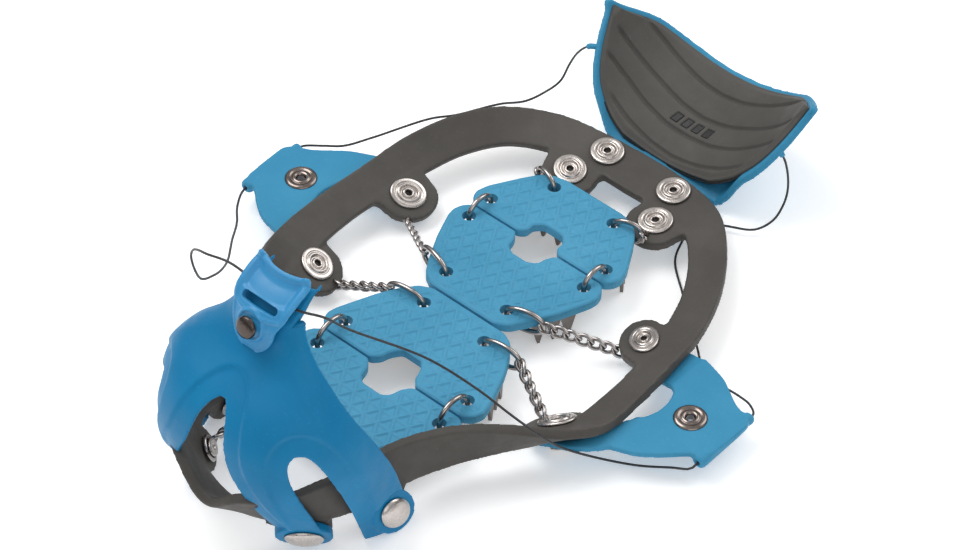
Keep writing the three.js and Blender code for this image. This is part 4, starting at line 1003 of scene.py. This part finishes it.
def hood_relief(grid, out):
    """How far the hood's face sinks: a facet round each arch, and a chamfer along the rear edges."""
    flat = grid.reshape(-1, 3)
    sink = np.zeros(len(flat))
    for ring, f in ARCH_FRAMES:
        rel = flat - f["o"]
        plane = np.stack([rel @ f["t"], rel @ f["c"]], 1)
        facing = (out.reshape(-1, 3) @ f["n"]) > 0.1
        gap = inside_distance(plane, ring)
        facet = 1.15 * step_down(gap, ARCH_FACET, 1.1) + 0.85 * np.clip((8 - gap) / 8, 0, 1)
        sink = np.maximum(sink, np.where(facing, facet, 0))
    sink = sink.reshape(grid.shape[:2])
    steps = np.linalg.norm(np.diff(grid, axis=1), axis=2)
    reach = np.concatenate([np.zeros((len(grid), 1)), np.cumsum(steps, axis=1)], 1)
    from_rear = np.minimum(reach, reach[:, -1:] - reach)
    width = REAR_FACET * soft_step((108 - grid[..., 2]) / 12)
    chamfer = 1.7 * np.clip(1 - from_rear / np.maximum(width, 1e-6), 0, 1)
    return np.maximum(sink, chamfer)


def trim_tongue(obj):
    """Cuts the tongue's end and both its sides back under the clip."""
    block = [(-40, -40), (40, -40), (40, 40), (-40, 40)]
    carve(obj, prism("tongue_end", block, frame_at(vec(0, -90, TONGUE_TOP), X, Z), 0, 20))
    for sign in (-1, 1):
        shoulder = [(sign * 13.2, -3), (sign * 40, -3), (sign * 40, 40), (sign * 11.2, 40)][::sign]
        carve(obj, prism("tongue_side", shoulder, frame_at(vec(0, -92.5, 100), X, Z), 0, 30))


def make_hood():
    outer = hood_grid(240, 170)
    out = normals(outer)
    middle = outer[85, 120] - outer[85].mean(axis=0)
    if out[85, 120] @ middle < 0:
        out = -out
    inner = outer - out * HOOD_T
    ridge = hood_relief(outer, out)
    outer = outer - out * ridge[..., None]
    wall = shell("wall", outer, inner)
    for ring, f in ARCH_FRAMES:
        carve(wall, prism("arch", ring, f, -2, 62))
    parts = [wall]
    for f in TOE_LOBES.values():
        carve(wall, bore_tool(f, TOE_LOBE_R + 0.6, -TOE_OUT - 14, -TOE_OUT))
        parts.append(disc("pad", f, TOE_LOBE_R, -TOE_OUT, -LOBE_T - GAP))
        carve(wall, bore_tool(f, TOE_LOBE_R + 1.2, -LOBE_T - GAP, 16))
    obj = fuse("toe_hood_moulding", parts, 0.62, 3)
    carve(obj, fuse("band_room", band_parts(0.25), 1.1, 1))
    for f in TOE_LOBES.values():
        carve(obj, bore_tool(f, SHANK_BORE, -30, 3))
    trim_tongue(obj)
    floor_cut(obj)
    finish_piece(obj, "harness", HOOD_SKIN, ("toe_hood",))


# ---------------------------------------------------------------- lace clip
# height, place along the boot, half width
CLIP_STOPS = [
    (88, -103.4, 4), (91, -103.5, 7.6), (95, -103.1, 9.8), (100, -102.4, 10.8), (103.5, -100.6, 12.4),
    (107, -98.2, 13.2), (110.5, -93.2, 13.4), (113.2, -87.4, 13), (114.6, -84.6, 11.6)]


def clip_grid(cols, rows):
    keys = [vec(*stop) for stop in CLIP_STOPS]
    grid = np.empty((rows + 1, cols + 1, 3))
    for i in range(rows + 1):
        z, y, half = open_curve(keys, i / rows)
        x = np.linspace(-half, half, cols + 1)
        grid[i] = np.stack([x, y + x * x / 40, np.full_like(x, z)], 1)
    return grid


def facing_toe(lift, o):
    """A frame whose n axis faces the toe, lifted by an angle."""
    return frame_at(o, X, vec(0, -math.cos(lift), math.sin(lift)))


CLIP_T = 2.3
CLIP_RIVET = facing_toe(0.34, vec(0, -103.7, 99.2))
CLIP_SLOT = frame_at(vec(0, -97.2, 107), X, vec(0, -math.sin(0.95), math.cos(0.95)))


def clip_relief(grid, half):
    """Rolled rails and top lip, a scoop between them, a bead round the shield and a seat for the rivet."""
    x = np.abs(grid[..., 0])
    z = grid[..., 2]
    inset = half - x
    high = soft_step((z - 102) / 3)
    rails = 1.0 * soft_step((3.0 - inset) / 1.6) * high
    bead = 0.55 * soft_step((1.9 - inset) / 0.9) * (1 - high)
    lip = 1.2 * soft_step((z - 113.1) / 0.9)
    scoop = 1.15 * soft_step((z - 107.6) / 1.6) * soft_step((113.6 - z) / 1.4)
    scoop = scoop * soft_step((inset - 2.2) / 1.8)
    frame_up = 0.5 * soft_step((z - 102.4) / 0.8) * soft_step((104.6 - z) / 0.8) * soft_step((inset - 1) / 1)
    far = np.hypot(x, z - 99.0)
    seat = 0.75 * soft_step((7.0 - far) / 0.9) * soft_step((far - 5.0) / 0.5)
    return rails + bead + lip - scoop + frame_up + seat


def make_clip():
    outer = clip_grid(150, 170)
    out = normals(outer)
    if out[60, 75][1] > 0:
        out = -out
    half = outer[:, -1, 0][:, None]
    inner = outer - out * CLIP_T
    outer = outer + out * clip_relief(outer, half)[..., None]
    wall = shell("wall", outer, inner)
    slot = filleted([(-8.6, -1.7), (8.6, -1.7), (8.6, 1.7), (-8.6, 1.7)], 1.6)
    carve(wall, prism("slot", slot, CLIP_SLOT, -14, 14))
    carve(wall, bore_tool(CLIP_RIVET, 1.7, -7, 7))
    carve(wall, bore_tool(CLIP_RIVET, 4.75, 0, 8))
    obj = fuse("lace_clip_moulding", [wall], 0.33, 2)
    finish_piece(obj, "harness", CLIP, ("lace_clip",))


def make_clip_rivet():
    profile = soft_profile([
        (0, -4.4), (1.5, -4.4), (1.5, 0.1), (4.5, 0.1), (4.55, 0.7), (4.2, 1.5), (3.2, 2.05), (1.6, 2.3),
        (0, 2.35)], 0.25)
    obj = lathe("lace_clip_rivet", profile, CLIP_RIVET)
    finish_piece(obj, "harness", DARK_CAP, ("clip_rivet",))


make_hood()
make_clip()
make_clip_rivet()


# ---------------------------------------------------------------- sole plates
REAR_X = -3
REAR_SEAM = 65.5
FRONT_X = 2
FRONT_SEAM = -27.7
SEAM_GAP = 0.5
PLATE_MID = PLATE_Z + PLATE_T / 2
HALVES = {
    "rear_front": {
        "x": REAR_X, "body": "rear_plate_flap",
        "out": [(17, 19.3), (22.5, 22.5), (27, 29.5), (33.5, 42), (38.3, 54), (39, 58), (37.8, 62),
                (35, REAR_SEAM - SEAM_GAP)],
        "hole": [(11, REAR_SEAM - SEAM_GAP), (8.7, 61.5), (7.8, 57), (4, 54.6)],
        "rings": [(16.3, 28.2), (31, 58.65)]},
    "rear_back": {
        "x": REAR_X, "body": "harness",
        "out": [(35, REAR_SEAM + SEAM_GAP), (37.8, 68.8), (39, 72.5), (37.5, 78), (30, 91), (26, 97),
                (21, 100.7), (15, 102)],
        "hole": [(11, REAR_SEAM + SEAM_GAP), (8, 68.5), (8.2, 72.5), (5, 75.8)],
        "rings": [(16, 95), (31, 72.35)]},
    "front_back": {
        "x": FRONT_X, "body": "front_plate_flap",
        "out": [(36.5, FRONT_SEAM + SEAM_GAP), (40.2, -24.5), (41.8, -20), (40.5, -15), (34, 1), (29, 10),
                (24.5, 15.5), (19, 18.2)],
        "hole": [(12, FRONT_SEAM + SEAM_GAP), (9, -24), (8, -20), (5, -15.6)],
        "rings": [(16.2, 9.1), (32.6, -19.4)]},
    "front_front": {
        "x": FRONT_X, "body": "harness",
        "out": [(36.5, FRONT_SEAM - SEAM_GAP), (40.2, -31), (41.8, -35.5), (40, -41), (33, -56), (27, -66),
                (22, -71.5), (15, -73.5)],
        "hole": [(12, FRONT_SEAM - SEAM_GAP), (9, -32), (7.8, -37), (5, -39.5)],
        "rings": [(16.2, -64.5), (32.6, -36)]}}
RIDGE_PITCH = 7.2
RIDGE_W = 1.0
RIDGE_H = 0.62


def half_outline(half):
    """The right-hand points, taken on round the centre hole, and their mirror."""
    out = half["out"]
    hole = half["hole"]
    right = (out[::-1] if abs(out[0][1] - hole[0][1]) < 0.5 else out) + hole
    return [(a + half["x"], b) for a, b in right + [(-a, b) for a, b in right[::-1]]]


def ridge_height(x, y, origin):
    """Three families of low ridges that part the face into tall triangles."""
    best = np.zeros_like(x)
    pitch = RIDGE_PITCH * math.sin(math.radians(60))
    for angle, weight in ((60, 1.0), (120, 1.0), (0, 0.55)):
        a = math.radians(angle)
        gap = (x - origin[0]) * math.sin(a) - (y - origin[1]) * math.cos(a)
        gap = np.abs((gap / pitch + 0.5) % 1.0 - 0.5) * pitch
        rise = np.clip(1 - (gap / (RIDGE_W * 0.8)) ** 2, 0, 1)
        best = np.maximum(best, rise * weight)
    return best


def height_field(x, y, top, low):
    """A slab over two ranges, with an upper face that follows top(x, y)."""
    step = 0.4
    gx, gy = np.meshgrid(np.arange(x[0], x[1] + step, step), np.arange(y[0], y[1] + step, step))
    return shell("slab", np.stack([gx, gy, top(gx, gy)], 2), np.stack([gx, gy, np.full_like(gx, low)], 2))


def make_half(key, half):
    """Half a sole plate: a ridged face with a plain rim round its edge and its holes."""
    outline = filleted(half_outline(half), 1.6, 5)
    xs = [p[0] for p in outline]
    ys = [p[1] for p in outline]
    top = PLATE_Z + PLATE_T - 0.12
    holes = [(half["x"] + s * x, y) for x, y in half["rings"] for s in (1, -1)]
    origin = (half["x"], half["hole"][-1][1])

    def face(gx, gy):
        points = np.stack([gx.ravel(), gy.ravel()], 1)
        edge = -inside_distance(points, outline).reshape(gx.shape)
        rim = np.clip((edge - 1.6) / 1.2, 0, 1)
        for hx, hy in holes:
            rim = np.minimum(rim, np.clip((np.hypot(gx - hx, gy - hy) - 4.4) / 1.0, 0, 1))
        lip = np.clip((1.1 - edge) / 1.1, 0, 1)
        return top + RIDGE_H * ridge_height(gx, gy, origin) * rim - 0.75 * lip ** 2

    slab = height_field((min(xs) - 1, max(xs) + 1), (min(ys) - 1, max(ys) + 1), face, PLATE_Z)
    carve(slab, prism("keep", outline, FLAT, PLATE_Z - 3, PLATE_Z + 12), "INTERSECT")
    for hx, hy in holes:
        carve(slab, bore_tool(frame_at(vec(hx, hy, PLATE_Z), X, Z), 2.9, -3, 12))
    slab.name = "sole_plate_" + key
    slab.data.set_sharp_from_angle(angle=math.radians(50))
    finish_piece(slab, half["body"], PLATE, ("plate_" + key,))


for key, half in HALVES.items():
    make_half(key, half)


# ---------------------------------------------------------------- steel rings and chains
def wire_path(centre, ax, ay, ra, rb, twist=0.0, count=48):
    """A closed wire loop; twist turns one end of the loop against the other."""
    ax = unit(ax)
    ay = unit(ay - ax * ay.dot(ax))
    az = np.cross(ax, ay)
    points = []
    for k in range(count):
        angle = 2 * math.pi * k / count
        along = math.cos(angle)
        turn = twist * along
        side = math.copysign(abs(math.sin(angle)) ** 0.8, math.sin(angle))
        points.append(centre + ax * ra * along + (ay * math.cos(turn) + az * math.sin(turn)) * rb * side)
    return points


def wire_loop(name, *path, wire=WIRE_R, **how):
    """A closed loop of round wire."""
    return tube(name, wire_path(*path, **how), wire, 12, closed=True)


for plate_name, x, reach, seam, radius in (
        ("rear", REAR_X, 31, REAR_SEAM, 6.85), ("front", FRONT_X, 32.6, FRONT_SEAM, 8.3)):
    for side, sign in (("left", -1), ("right", 1)):
        centre = vec(x + sign * reach, seam, PLATE_MID)
        path = wire_path(centre, Y, Z, radius, radius, count=96)
        hoop = tube("seam_ring_%s_%s" % (plate_name, side), path, RING_WIRE_R, 18, closed=True)
        finish_piece(hoop, "harness", CHAIN, ("plate_ring_%s_%s" % (plate_name, side),))

EYE_R = 4.6
LINK_PITCH = 4.9
CORNER_RB = 5.2
EYE_DEPTH = -(LOBE_T + GAP + ARM_T + GAP + EYE_T / 2)
INNER_DEPTH = HEAD + EYE_T / 2
SIDE_CHAINS = (
    ("right_2", "rear_front", 1, (0.97, 0.24), 8.4, 4), ("left_2", "rear_front", -1, (-0.97, 0.26), 8.4, 4),
    ("right_1", "front_back", 1, (0.99, 0.09), 8.8, 4), ("left_1", "front_back", -1, (-0.99, -0.1), 8.8, 4),
    ("right_3", "rear_back", 1, (0.95, 0.31), 6.4, 2), ("left_3", "rear_back", -1, (-0.95, 0.31), 6.4, 2))


def chain_branch(f, depth, end, count):
    """An eye round a rivet and the twisted links between it and the corner ring."""
    centre = at(f, 0, 0, depth)
    to = end - centre
    bearing = unit(np.array([to.dot(f["t"]), to.dot(f["c"])])) * EYE_R
    hook = at(f, bearing[0], bearing[1], depth)
    away = unit(end - hook)
    start = end + away * 0.9
    stop = hook - away * 0.2
    count = max(count, round(np.linalg.norm(stop - start) / LINK_PITCH))
    pitch = np.linalg.norm(stop - start) / count
    upright = unit(Z - away * Z.dot(away))
    parts = [wire_loop("eye", centre, f["t"], f["c"], EYE_R, EYE_R)]
    for i in range(count):
        mid = start + (stop - start) * (i + 0.5) / count
        turn = 0.35 + 0.12 * math.sin(2.3 * i)
        side = upright * math.cos(turn) + np.cross(away, upright) * math.sin(turn)
        parts.append(wire_loop("link", mid, away, side, pitch / 2 + 0.85, 2.05, twist=0.75))
    return parts


def make_chain(name, key, side, heading, reach, branches):
    """The corner ring of a half plate, and a branch from it to each rivet."""
    half = HALVES[key]
    x, y = half["rings"][0]
    direction = unit(vec(*heading, 0))
    centre = vec(half["x"] + side * x, y, PLATE_MID) + direction * reach
    end = centre + direction * reach
    parts = [wire_loop("ring", centre, direction, Z, reach, CORNER_RB, wire=RING_WIRE_R, count=72)]
    for f, depth, count in branches:
        parts += chain_branch(f, depth, end, count)
    obj = join("twisted_chain_" + name, parts)
    finish_piece(obj, None, CHAIN, ("chain_" + name,))
    if half["body"] == "harness":
        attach(obj, "harness")
    else:
        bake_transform(obj)


for name, key, side, heading, reach, count in SIDE_CHAINS:
    make_chain(name, key, side, heading, reach, [(SIDE_LOBES[name], EYE_DEPTH, count)])
for name, side in (("right", 1), ("left", -1)):
    make_chain("toe_" + name, "front_front", side, (side * 0.83, -0.55), 8.4, [
        (TOE_LOBES[name + "_rear"], INNER_DEPTH, 1), (TOE_LOBES[name + "_front"], INNER_DEPTH, 4)])


# ---------------------------------------------------------------- spike plates keep their CAD solids
for key in HALVES:
    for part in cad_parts["spikes_" + key].material_slots:
        part.material = SPIKE


# ---------------------------------------------------------------- heel shell, pad and dial
CUP_HINGE_Y = 142.7
STRAP_Z = 12.5 + BAND_LIFT - BAND_T - GAP
ROOT_Z = 4.65
CUP_R = 64.1
CUP_TAPER = -0.153
CUP_HALF = 63.7
CUP_ORIGIN = vec(0.6, 166.2, 18)
CUP_LAY = math.radians(78)
CUP_TURN = math.radians(-2.1)
CUP_ROLL = math.radians(-5)
SHELL_LOW = PAD_T + GAP
TIP_FROM = 42.0
ROOT_DROP = 24.6


def cup_matrix():
    """The cup is laid back, rolled and turned a little about the heel."""
    lay = np.array([[1, 0, 0], [0, math.cos(CUP_LAY), math.sin(CUP_LAY)],
                    [0, -math.sin(CUP_LAY), math.cos(CUP_LAY)]])
    turn = np.array(Matrix.Rotation(CUP_TURN, 3, "Z"))
    return turn @ np.array(Matrix.Rotation(CUP_ROLL, 3, "Y")) @ lay


CUP_MATRIX = cup_matrix()


def cup_points(u, v, w):
    """u along the heel's curve, v up the heel, w outward from the pad's inner face."""
    angle = u / CUP_R
    reach = CUP_R + CUP_TAPER * v + w
    local = np.stack([reach * np.sin(angle), reach * np.cos(angle) - CUP_R, v + 0 * u], -1)
    return local @ CUP_MATRIX.T + CUP_ORIGIN


def cup_low(u):
    """The lower edge of the pad, up the heel."""
    q = (u / 50) ** 2
    return np.maximum(-22.5, -25.1 + 11.6 * q + 6.4 * q * q)


def cup_high(u):
    """The upper edge of the pad, up the heel."""
    q = (u / 50) ** 2
    return 26.2 + 0.05 * q - 4.15 * q * q


def cup_uv(edge, cols, rows, tongue):
    """A grid over the cup grown by an edge, with rounded tips and, if asked, a root down to the strap."""
    reach = CUP_HALF + edge
    u = np.linspace(-reach, reach, cols + 1)
    within = np.clip(u, -CUP_HALF, CUP_HALF)
    low = cup_low(within) - edge
    if tongue:
        root = soft_step((30 - np.abs(u)) / 8)
        low = low * (1 - root) - ROOT_DROP * root
    high = cup_high(within) + edge
    past = np.clip(np.abs(u) - TIP_FROM, 0, None) / (reach + 0.05 - TIP_FROM)
    tip = np.sqrt(np.clip(1 - past ** 2, 0, 1))
    mid = (low + high) / 2
    low = mid + (low - mid) * tip
    high = mid + (high - mid) * tip
    v = low[None, :] + (high - low)[None, :] * np.linspace(0, 1, rows + 1)[:, None]
    return np.broadcast_to(u, v.shape), v


def cup_sheet(w, edge, cols, rows, tongue):
    """A sheet of the heel shell; near its root it flattens on to the strap."""
    u, v = cup_uv(edge, cols, rows, tongue)
    p = cup_points(u, v, w)
    if not tongue:
        return p
    share = soft_step((-10 - v) / 14.6) * soft_step((39 - np.abs(u)) / 14)
    lift = w - PAD_T - GAP - CUP_T / 2
    rise = v + ROOT_DROP
    flat = np.stack([p[..., 0], CUP_HINGE_Y + 0.3 + rise * 0.98, ROOT_Z - lift + rise * 0.2], -1)
    return p + (flat - p) * share[..., None]


# heights of the moulded grooves up the pad, at these distances from its middle
GROOVE_U = (0, 12, 25, 36, 46, 57)
PAD_GROOVES = (
    (14.9, 15.7, 17.6, 19.2, 20.0, 20.2), (1.8, 2.8, 4.9, 6.2, 7.2, 8.3),
    (-8.7, -8.3, -6.4, -4.0, -2.8, -2.0), (-19.8, -18.9, -17.0, -14.4, -11.4, -8.0))
GROOVE_ENDS = (53, 57, 52, 39)
BARS = [5.6 * (k - 1.5) for k in range(4)]
BAR_SLANT = 0.22
PAD_SIZE = (127, 50)
MARK_U = -1.2
MARK_V = -3.4


def pad_relief(u, v):
    """How deep the pressed grooves lie: a narrow groove in a wide shallow one, fading at its ends."""
    sink = np.zeros_like(v)
    for heights, end in zip(PAD_GROOVES, GROOVE_ENDS):
        gap = v - np.interp(np.abs(u), GROOVE_U, heights) - 0.15 * np.exp(-(u / 6) ** 2)
        groove = 0.95 * np.clip(1 - np.abs(gap / 1.15) ** 1.6, 0, 1) + 0.35 * np.exp(-(gap / 2.6) ** 2)
        sink = np.maximum(sink, groove * soft_step((end - np.abs(u)) / 5))
    return sink


def mark_relief(u, v):
    """Four plain pressed bars that mark the heel side."""
    sink = np.zeros_like(v)
    lean_u = u - MARK_U - BAR_SLANT * (v - MARK_V)
    along = np.clip((2.5 - np.abs(v - MARK_V)) / 0.45, 0, 1)
    for centre in BARS:
        sink = np.maximum(sink, np.clip((2.1 - np.abs(lean_u - centre)) / 0.45, 0, 1) * along)
    return sink


def make_pad():
    cols, rows = 380, 190
    u, v = cup_uv(0, cols, rows, False)
    from_side, from_end = (np.minimum(np.linspace(0, 1, n + 1), np.linspace(1, 0, n + 1)) * size
                           for n, size in zip((cols, rows), PAD_SIZE))
    crown = 1.3 * (1 - soft_step(np.minimum(from_end[:, None], from_side[None, :]) / 3.4))
    w = crown + pad_relief(u, v) + 0.75 * mark_relief(u, v)
    front = cup_points(u, v, np.minimum(w, PAD_T - 0.6))
    obj = shell("heel_pad_moulding", front, cup_points(u, v, PAD_T + 0 * v))
    finish_piece(obj, "heel", PAD, ("heel_pad",))


def make_heel_mark():
    """Dark ink in the pressed bars."""
    bars = []
    for centre in BARS:
        u, v = np.meshgrid(MARK_U + centre + np.linspace(-1.7, 1.7, 7), MARK_V + np.linspace(-2.2, 2.2, 9))
        u = u + BAR_SLANT * (v - MARK_V)
        bars.append(shell("bar", cup_points(u, v, 0.3 + 0 * v), cup_points(u, v, 1.1 + 0 * v)))
    finish_piece(join("heel_mark", bars), "heel", BLACK)


def heel_strap_parts():
    """The strap under the band: a slab, a ramp down to the cup's root, and an arm to each rear lobe."""
    outline = [(-30, 121), (-30, 135), (30, 135), (30, 121), (20, 120), (8, 124.5), (-8, 124.5), (-20, 120)]
    slab = prism("slab", filleted(outline, 3), FLAT, STRAP_Z - ARM_T, STRAP_Z)
    mid = STRAP_Z - ARM_T / 2
    ramp = ribbon("ramp", [
        (vec(0, 132, mid), -X, 30, Z), (vec(0, 136, mid - 0.4), -X, 30, Z),
        (vec(0, 139.5, mid - 2), -X, 29.5, vec(0, 0.4, 0.92)),
        (vec(0, CUP_HINGE_Y, ROOT_Z), -X, 29, Z), (vec(0, CUP_HINGE_Y + 1.5, ROOT_Z + 0.2), -X, 29, Z)])
    parts = [slab, ramp]
    for key, sign in (("right_3", 1), ("left_3", -1)):
        f = SIDE_LOBES[key]
        parts.append(ribbon("arm", [
            (at(f, 0, 0, ARM_DEPTH), -X, 9.4, f["n"]), (at(f, 0, 6, ARM_DEPTH), -X, 9.2, f["n"]),
            (vec(sign * 22, 125, mid), -X, 8.8, Z), (vec(sign * 21, 131, mid), -X, 8.8, Z)]))
        parts.append(arm_end(f))
    return parts


def make_heel_shell():
    """The shell and its strap are one moulding, bent at the root, with a black sheet behind the pad that
    paints the shadow line round the pad.
    """
    wall = shell("wall", *(cup_sheet(w, 3, 200, 90, True) for w in (SHELL_LOW - 0.6, SHELL_LOW + CUP_T)))
    obj = fuse("heel_shell", heel_strap_parts() + [wall], 0.7, 3)
    for f in (SIDE_LOBES["right_3"], SIDE_LOBES["left_3"], *HEEL_SEATS.values()):
        carve(obj, bore_tool(f, SHANK_BORE, -14, -2))
    for f in HEEL_SEATS.values():
        carve(obj, bore_tool(f, 5.2, -20, HEEL_LOW + FLANGE_T + GAP))
    floor_cut(obj)
    finish_piece(obj, None, MOULD, ("heel_strap", "heel_cup"))
    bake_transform(obj)
    # painted shade: a black sheet between pad and shell shows as the shadow line round the pad
    shadow_sheet = shell("heel_shadow_sheet", *(cup_sheet(w, 0.5, 160, 60, False) for w in (PAD_T - 0.1, SHELL_LOW + 0.3)))
    finish_piece(shadow_sheet, "heel", BLACK)


def make_lace_eyes():
    """Short moulded bosses that lead each cup lace into the heel shell."""
    rim = cup_sheet(SHELL_LOW + CUP_T / 2, 0.5, 160, 60, False).reshape(-1, 3)
    for side in ("left", "right"):
        before, end = (np.array(p) for p in LACES["lace_cup_" + side][-2:])
        root = rim[np.argmin(np.linalg.norm(rim - end, axis=1))]
        path = [end - 1.2 * unit(end - before), end, (end + root) / 2, root]
        boss = tube("heel_lace_eye_" + side, path, 1.25, 20)
        finish_piece(boss, "heel", MOULD)


DIAL_V = 13.0
DIAL_FOOT, DIAL_TOP, DIAL_SEAT = (cup_points(np.array(0.0), np.array(DIAL_V), w) for w in (
    0.0, 20.0, SHELL_LOW + CUP_T))
DIAL_N = unit(DIAL_TOP - DIAL_FOOT)
DIAL = frame_at(DIAL_SEAT, unit(X - DIAL_N * DIAL_N[0]), DIAL_N)
# name, body, material, slot, node, rounding, segments, profile
DIAL_PARTS = (
    ("dial_housing", "heel", BLACK, "dial_black", "dial_base", 0.25, 72, [
        (0, -1.6), (13, -1.6), (13.4, 1), (12.8, 5), (11.9, 5.1), (9.4, 5), (9.4, 1.6), (1.7, 1.6),
        (1.7, 5.9), (0, 5.9)]),
    ("dial_reel", "reel", BLACK, "dial_black", "dial_spool", 0.15, 72, [
        (2, 3.2), (2, 1.9), (8.9, 1.9), (8.9, 2.5), (6.4, 2.7), (6.4, 3.9), (8.9, 4.1), (8.9, 4.7), (2, 4.7),
        (2, 3.2)]),
    ("dial_ratchet", "reel", DARK_NICKEL, "dark_nickel", "dial_drive", 0.15, 72, [
        (2, 5.5), (2, 5), (8.9, 5), (8.9, 6.1), (2, 6.1), (2, 5.5)]),
    ("dial_cap_body", "dial_cap", BLACK, "dial_black", "dial_knob", 0.25, 72, [
        (1.7, 8), (1.7, 6.4), (9.3, 6.4), (9.3, 5.3), (11.4, 5.3), (11.4, 10.3), (10.6, 11.2), (8.2, 11.3),
        (7.6, 10.9), (5.4, 10.9), (4.8, 11.2), (3.2, 11.2), (3.2, 10.1), (1.7, 10.1), (1.7, 8)]),
    ("dial_centre_screw", "dial_slider", CHAIN, "chain_steel", "dial_screw", 0.12, 48, [
        (0, 6.3), (1.4, 6.3), (1.4, 10.4), (2.9, 10.4), (2.9, 11.0), (2.5, 11.2), (1.5, 11.2), (1.3, 10.8),
        (0, 10.7)]))


def knurled(name, low, high, inner, outer, teeth):
    """A gripped ring with rounded teeth and eased edges."""
    count = teeth * 10
    turns = circle(count)
    wave = [outer - 0.75 * (1 - abs(math.cos(a * teeth / 2)) ** 0.7) for a in turns]
    levels = [(low, -0.35), (low + 0.4, 0), (high - 0.4, 0), (high, -0.35)]
    rings = [(h, [r + ease for r in wave]) for h, ease in levels]
    rings += [(h, [inner] * count) for h in (high, low)]
    points = [at(DIAL, r * math.cos(a), r * math.sin(a), h)
              for h, radii in rings for r, a in zip(radii, turns)]
    faces = []
    for i in range(len(rings)):
        j = (i + 1) % len(rings)
        for k in range(count):
            m = (k + 1) % count
            faces.append((i * count + k, i * count + m, j * count + m, j * count + k))
    return outward(mesh_object(name, points, faces))


def make_dial():
    for name, body, material, slot, node, radius, segments, profile in DIAL_PARTS:
        obj = lathe(name, soft_profile(profile, radius), DIAL, segments)
        finish_piece(obj, body, material, (node,))
    grip = knurled("dial_grip", 5.5, 10.4, 11.5, 13.1, 22)
    finish_piece(grip, "dial_cap", PAD, ("knob_grip",))


make_pad()
make_heel_mark()
make_heel_shell()
make_lace_eyes()
make_dial()
